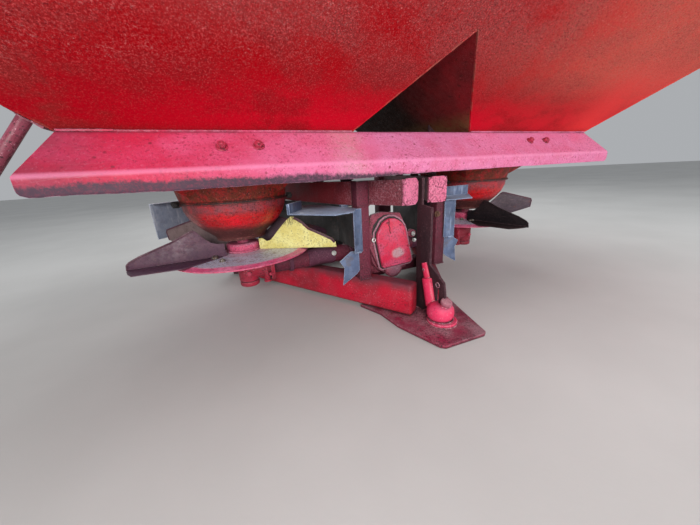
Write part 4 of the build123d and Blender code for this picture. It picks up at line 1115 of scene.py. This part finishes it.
def gearbox_cover():
    sh = Shape()
    sh.prism(grow(FACE, -1.0), "y", 126.5, 145.5, 5.0, 3)
    sh.done("v_gearbox_cover", "cover", slot=NODE_SLOT["gearbox_cover"], replaces=("gearbox_cover",))
    fl = Shape()
    fl.prism(grow(FACE, 11.5), "y", 140.5, 146.2, 1.0)
    fl.done("gearbox_cover_flange", "flange", slot=NODE_SLOT["gearbox_cover"])
    g = Shape()
    g.prism(grow(FACE, 5.0), "y", 139.2, 141.0, 0.3)
    g.done("gearbox_cover_gasket", "rubber", slot=NODE_SLOT["gearbox_cover"])
    # crack from the upper edge
    c = Shape()
    crack = [(-31, -300), (-28, -312), (-31, -322), (-25, -334), (-27, -345), (-21, -356)]
    c.wire([(x, 126.4, z) for x, z in crack], 1.7, 6)
    c.done("gearbox_cover_crack", "rubber", slot=NODE_SLOT["gearbox_cover"])
    b = Shape()
    for x, z in ((-92, -376), (98, -375)):
        b.torus((x, 140.5, z), (0.15, -1, 0.1), 7.4, 3.1, 32, 10)
        b.lathe([(7.0, 0), (7.0, 5), (5.5, 5.6)], (x, 146.2, z), (0, -1, 0), 24)
    b.done("gearbox_ear_eyes", "zinc")
    e = Shape()
    for x, z in ((-66, -486), (80, -484), (-40, -312), (28, -326), (-76, -400), (72, -420)):
        e.bolt((x * 0.90, 127.0, z + (6 if z < -450 else 0)), (0, -1, 0), 10, 3.6, 0)
    e.done("gearbox_cover_screws", "bolt_pink")
    # dark sheet in the rubber finish: painted shadow in the gap behind the cover's upper left
    k = Shape()
    k.prism([(-99, -352), (-90, -318), (-66, -292), (-40, -282), (-20, -281), (-24, -292), (-58, -304), (-82, -340), (-88, -366)],
            "y", 144.6, 146.6, 0.3)
    k.done("gearbox_painted_shadow", "rubber", slot=NODE_SLOT["gearbox_plate"])
    d = Shape()
    d.lathe([(0, 0), (30, 0), (38, 2.5), (42.6, 8), (43.6, 16)], (8, 150.2, -514), (0, 1, 0), 48)
    d.torus((8, 152, -514), (0, 1, 0), 24, 1.4, 40, 8)
    d.done("gearbox_lower_cap", "dome", slot=NODE_SLOT["gearbox_centre"])


gearbox_cover()


def input_trim():
    s = Shape()
    for k in range(6):                                      # splines of the stub
        a = 2 * pi * k / 6
        u, w = cos(a), sin(a)
        q = [(u * 13 - w * 4, w * 13 + u * 4), (u * 17.2 - w * 3.6, w * 17.2 + u * 3.6), (u * 17.2 + w * 3.6, w * 17.2 - u * 3.6),
             (u * 13 + w * 4, w * 13 - u * 4)]
        s.prism([(x, z - 445) for x, z in q], "y", 470, 559.5, 0.5)
    s.lathe([(14.0, 0), (14.6, 1), (14.6, 89), (12.5, 91.5), (0, 91.5), (0, 0)], (0, 469, -445), (0, 1, 0), 40)
    s.lathe([(17.3, 0), (17.3, 24), (15.2, 26), (14.0, 26)], (0, 446, -445), (0, 1, 0), 40)
    s.lathe([(17.4, 0), (29, 0), (30, 1), (30, 10), (29, 11), (17.4, 11)], (0, 441, -445), (0, 1, 0), 48)
    s.done("v_input_shaft", "steel", "input", STEEL, replaces=("input_shaft",))
    g = Shape()
    for y in (470, 505, 540):
        g.torus((0, y, -445), (0, 1, 0), 92.2, 2.2, 72, 8)
    g.torus((0, 583, -445), (0, 1, 0), 90.2, 3.4, 72, 8)
    g.done("input_guard_ribs", "plastic", slot=NODE_SLOT["input_guard"])


input_trim()

# ------------------------------------------------------------------ towing socket
def tow_socket():
    c = Shape()
    c.lathe([(0, 0), (49, 0), (50, 1), (50, 7.5), (48.5, 9), (40, 9.4), (0, 9.4)], (4, -158, -618), n=72)
    c.lathe([(0, 0), (30, 0), (36, 3.5), (41, 9), (44.4, 17), (45.6, 28), (45.2, 36), (43.4, 44), (38, 52.5), (30, 58.5), (20, 61.6), (0, 62)],
            (2, -151, -612), n=72)
    c.lathe([(0, 0), (23.5, 0), (23.0, 96.5), (21.6, 98.6), (16.6, 99.2), (0, 99.2)], (1, -112, -575), (-1, 26, 95), 48)
    c.rod((0, -86.6, -482), (0, -66.5, -429), 15.6, 13.6, 36, 2.0)
    c.torus((1.0, -111.0, -570), (-1, 26, 95), 21.0, 3.4, 48, 10)
    c.rod((1, -158, -581), (0, -180, -536), 14.6, 13.2, 36, 0.8)
    c.done("v_tow_socket", "tow", slot=NODE_SLOT["tow_socket"], smooth=40, replaces=("tow_socket",))
    k = Shape()
    d = Vector((0, -7.5, 14)).normalized()
    k.lathe([(0, 0), (14, 0), (18.2, 1.6), (19.6, 5), (19.6, 10), (18.4, 13.4), (15, 15.6), (6, 16.6), (0, 16.8)], (0, -176.0, -545.0), tuple(d), 44)
    k.done("tow_knob", "knob", slot=NODE_SLOT["tow_socket"], smooth=40)
    r = Shape()
    r.torus((2.6, -153, -607.6), (0, 0, 1), 41.6, 1.9, 72, 8)
    r.torus((-14.2, -74, -452), (1, 0, 0), 4.6, 1.1, 24, 6)
    # dark disc in the neck's hole: painted shade standing in for the hole
    r.lathe([(0, 0), (4.4, 0), (4.4, 0.8), (0, 0.8)], (-15.2, -74, -452), (1, 0, 0), 20)
    r.done("tow_dark_ring", "plate", slot=NODE_SLOT["tow_socket"])
    h = Shape()
    for s in (-1, 1):
        h.torus((s * 4.4, -139, -489), (1, 0, 0), 8.6, 1.5, 32, 8)
    h.done("tow_lug_ring", "flange", slot=NODE_SLOT["centre_plate"])
    w = Shape()
    for s in (-1, 1):
        w.weld((s * 4.5, -168, -544), (s * 4.5, -66, -617), 2.0)
        w.weld((s * 4.5, -22, -617.5), (s * 4.5, -60, -617.5), 2.4)
    w.torus((4, -158, -617.4), (0, 0, 1), 51.2, 2.2, 80, 8)
    w.done("tow_welds", "plate", slot=NODE_SLOT["foot_plate"])


tow_socket()

# ------------------------------------------------------------------ frame: welds and bolts
def frame_trim(s, side):
    w = Shape()
    for z in (-499.0,):                                     # foot of the side post on the lower beam
        w.weld((s * 150, 60.2, z), (s * 196, 60.2, z), 3.0)
        w.weld((s * 149.2, 61, z), (s * 149.2, 107, z), 3.0)
    w.weld((s * 150, 60.4, -226), (s * 196, 60.4, -226), 2.6)
    w.weld((s * 149.4, 61, -226), (s * 149.4, 107, -226), 2.6)
    w.weld((s * 24, -37.2, -146), (s * 24, -37.2, -224), 2.2)
    w.weld((s * 89.4, -52.0, -146), (s * 89.4, -52.0, -224), 2.2)
    w.weld((s * 300, 791.4, -498), (s * 380, 791.4, -498), 3.2)
    w.weld((s * 300, 852.8, -498), (s * 380, 852.8, -498), 3.2)
    w.weld((s * 299.2, 792, -498), (s * 299.2, 852, -498), 3.2)
    w.weld((s * 298, 852.6, 189), (s * 382, 852.6, 189), 3.0)
    w.weld((s * 380.6, 800, -382), (s * 380.6, 800, -220), 2.8)
    w.done("frame_welds_" + side, "frame", slot=NODE_SLOT["side_posts"])
    b = Shape()
    b.bolt((s * 153, 61, -289) if s > 0 else (-149.5, 86, -289), (0, -1, 0) if s > 0 else (1, 0, 0), 17, 8, 2.4, 4)
    b.done("post_bolts_" + side, "rusty")
    z = Shape()
    z.bolt((s * 213, 143, -232.4), (0, 0, -1), 17, 8, 2.2, 3)
    z.bolt((s * 169, 181, -236), (0, 0, -1), 17, 8, 2.2, 3)
    z.bolt((s * 349, 730, -236), (0, 0, -1), 17, 8, 2.2, 3)
    z.done("guard_bolts_" + side, "zinc")
    # lower link pin: shoulder, linch pin with its ring
    p = Shape()
    x = s * 474
    p.rod((x, 915, -324), (x, 915, -276), 4.6, n=14, bevel=0.6)
    p.torus((x, 915, -291), (s, 0, 0), 21, 2.2, 40, 8)
    p.lathe([(14.2, 0), (22, 0.6), (22, 4), (14.2, 4.6)], (s * 397.5, 915, -300), (s, 0, 0), 36)
    p.done("linch_pin_" + side, "zinc")
    f = Shape()                                             # gussets of the uprights
    f.prism([(851, -500), (851, -430), (855, -430), (855, -500)], "x", s * 318, s * 362, 0.6)
    f.prism([(s * 300, 190), (s * 236, 190), (s * 300, 126)], "y", 816, 826, 1.0)
    f.done("upright_gusset_" + side, "frame", slot=NODE_SLOT["upright_" + side])


both(frame_trim)


def arm_trim():
    b = Shape()
    for y in (-33, 33):
        for z in (-186, -110):
            b.bolt((-1086, y, z), (-1, 0, 0), 15, 7, 2, 3)
    b.done("arm_bolts", "zinc")
    w = Shape()
    d = Vector((-158, 0, -193)).normalized()
    w.torus((-1075.5, 0, -144.4), tuple(d), 13.2, 2.2, 32, 8)
    w.torus((-938, 0, 23.5), tuple(d), 13.0, 2.0, 32, 8)
    w.done("arm_welds", "tube", slot=NODE_SLOT["side_arm"])


arm_trim()


def hopper_brackets_trim():
    b = Shape()
    for s in (-1, 1):
        for y in (150, 330, 540):
            xa = {150: 172.0, 330: 236.0, 540: 290.0}[y]
            b.bolt((s * xa, y - 0.2, -128), (0, -1, 0), 17, 8, 2, 4)
    b.done("bracket_bolts", "rusty")


hopper_brackets_trim()

# ------------------------------------------------------------------ floor and light
def stage():
    bm = bmesh.new()
    bmesh.ops.create_circle(bm, cap_ends=True, segments=96, radius=30.0)
    me = bpy.data.meshes.new("floor")
    bm.to_mesh(me)
    bm.free()
    M = Mat("floor_pale", rough=0.9, spec=0.2)
    n = M.noise(1.2, 4, 0.6)
    M.colour(M.mix(M.ramp(n, 0.3, 0.7), (0.52, 0.52, 0.51), (0.57, 0.57, 0.56)))
    M.bump([(M.noise(60, 3, 0.6), 1.0)], dist=0.0008, strength=0.3)
    me.materials.append(M.m)
    o = bpy.data.objects.new("floor", me)
    scene.collection.objects.link(o)
    w = bpy.data.worlds.new("studio")
    scene.world = w
    w.use_nodes = True
    bg = w.node_tree.nodes["Background"]
    bg.inputs[0].default_value = (0.88, 0.91, 0.95, 1)
    bg.inputs[1].default_value = 0.46

    def area(name, at, to, size, power, col=(1, 1, 1)):
        l = bpy.data.lights.new(name, "AREA")
        l.shape, l.size, l.energy, l.color = "DISK", size, power, col
        lo = bpy.data.objects.new(name, l)
        lo.location = at
        lo.rotation_mode = "QUATERNION"
        lo.rotation_quaternion = (Vector(to) - Vector(at)).to_track_quat("-Z", "Y")
        scene.collection.objects.link(lo)

    area("key", (-2.0, -4.4, 1.55), (-0.1, 0, 0.4), 1.9, 200, (1.0, 0.98, 0.95))
    area("fill", (2.6, -3.8, 0.9), (0.2, 0, 0.4), 2.4, 50, (0.95, 0.97, 1.0))
    area("top", (0.5, -1.0, 5.2), (0, 0, 0.6), 3.0, 90)
    area("back", (1.5, 4.5, 3.5), (0, 0, 0.6), 3.0, 80)


stage()
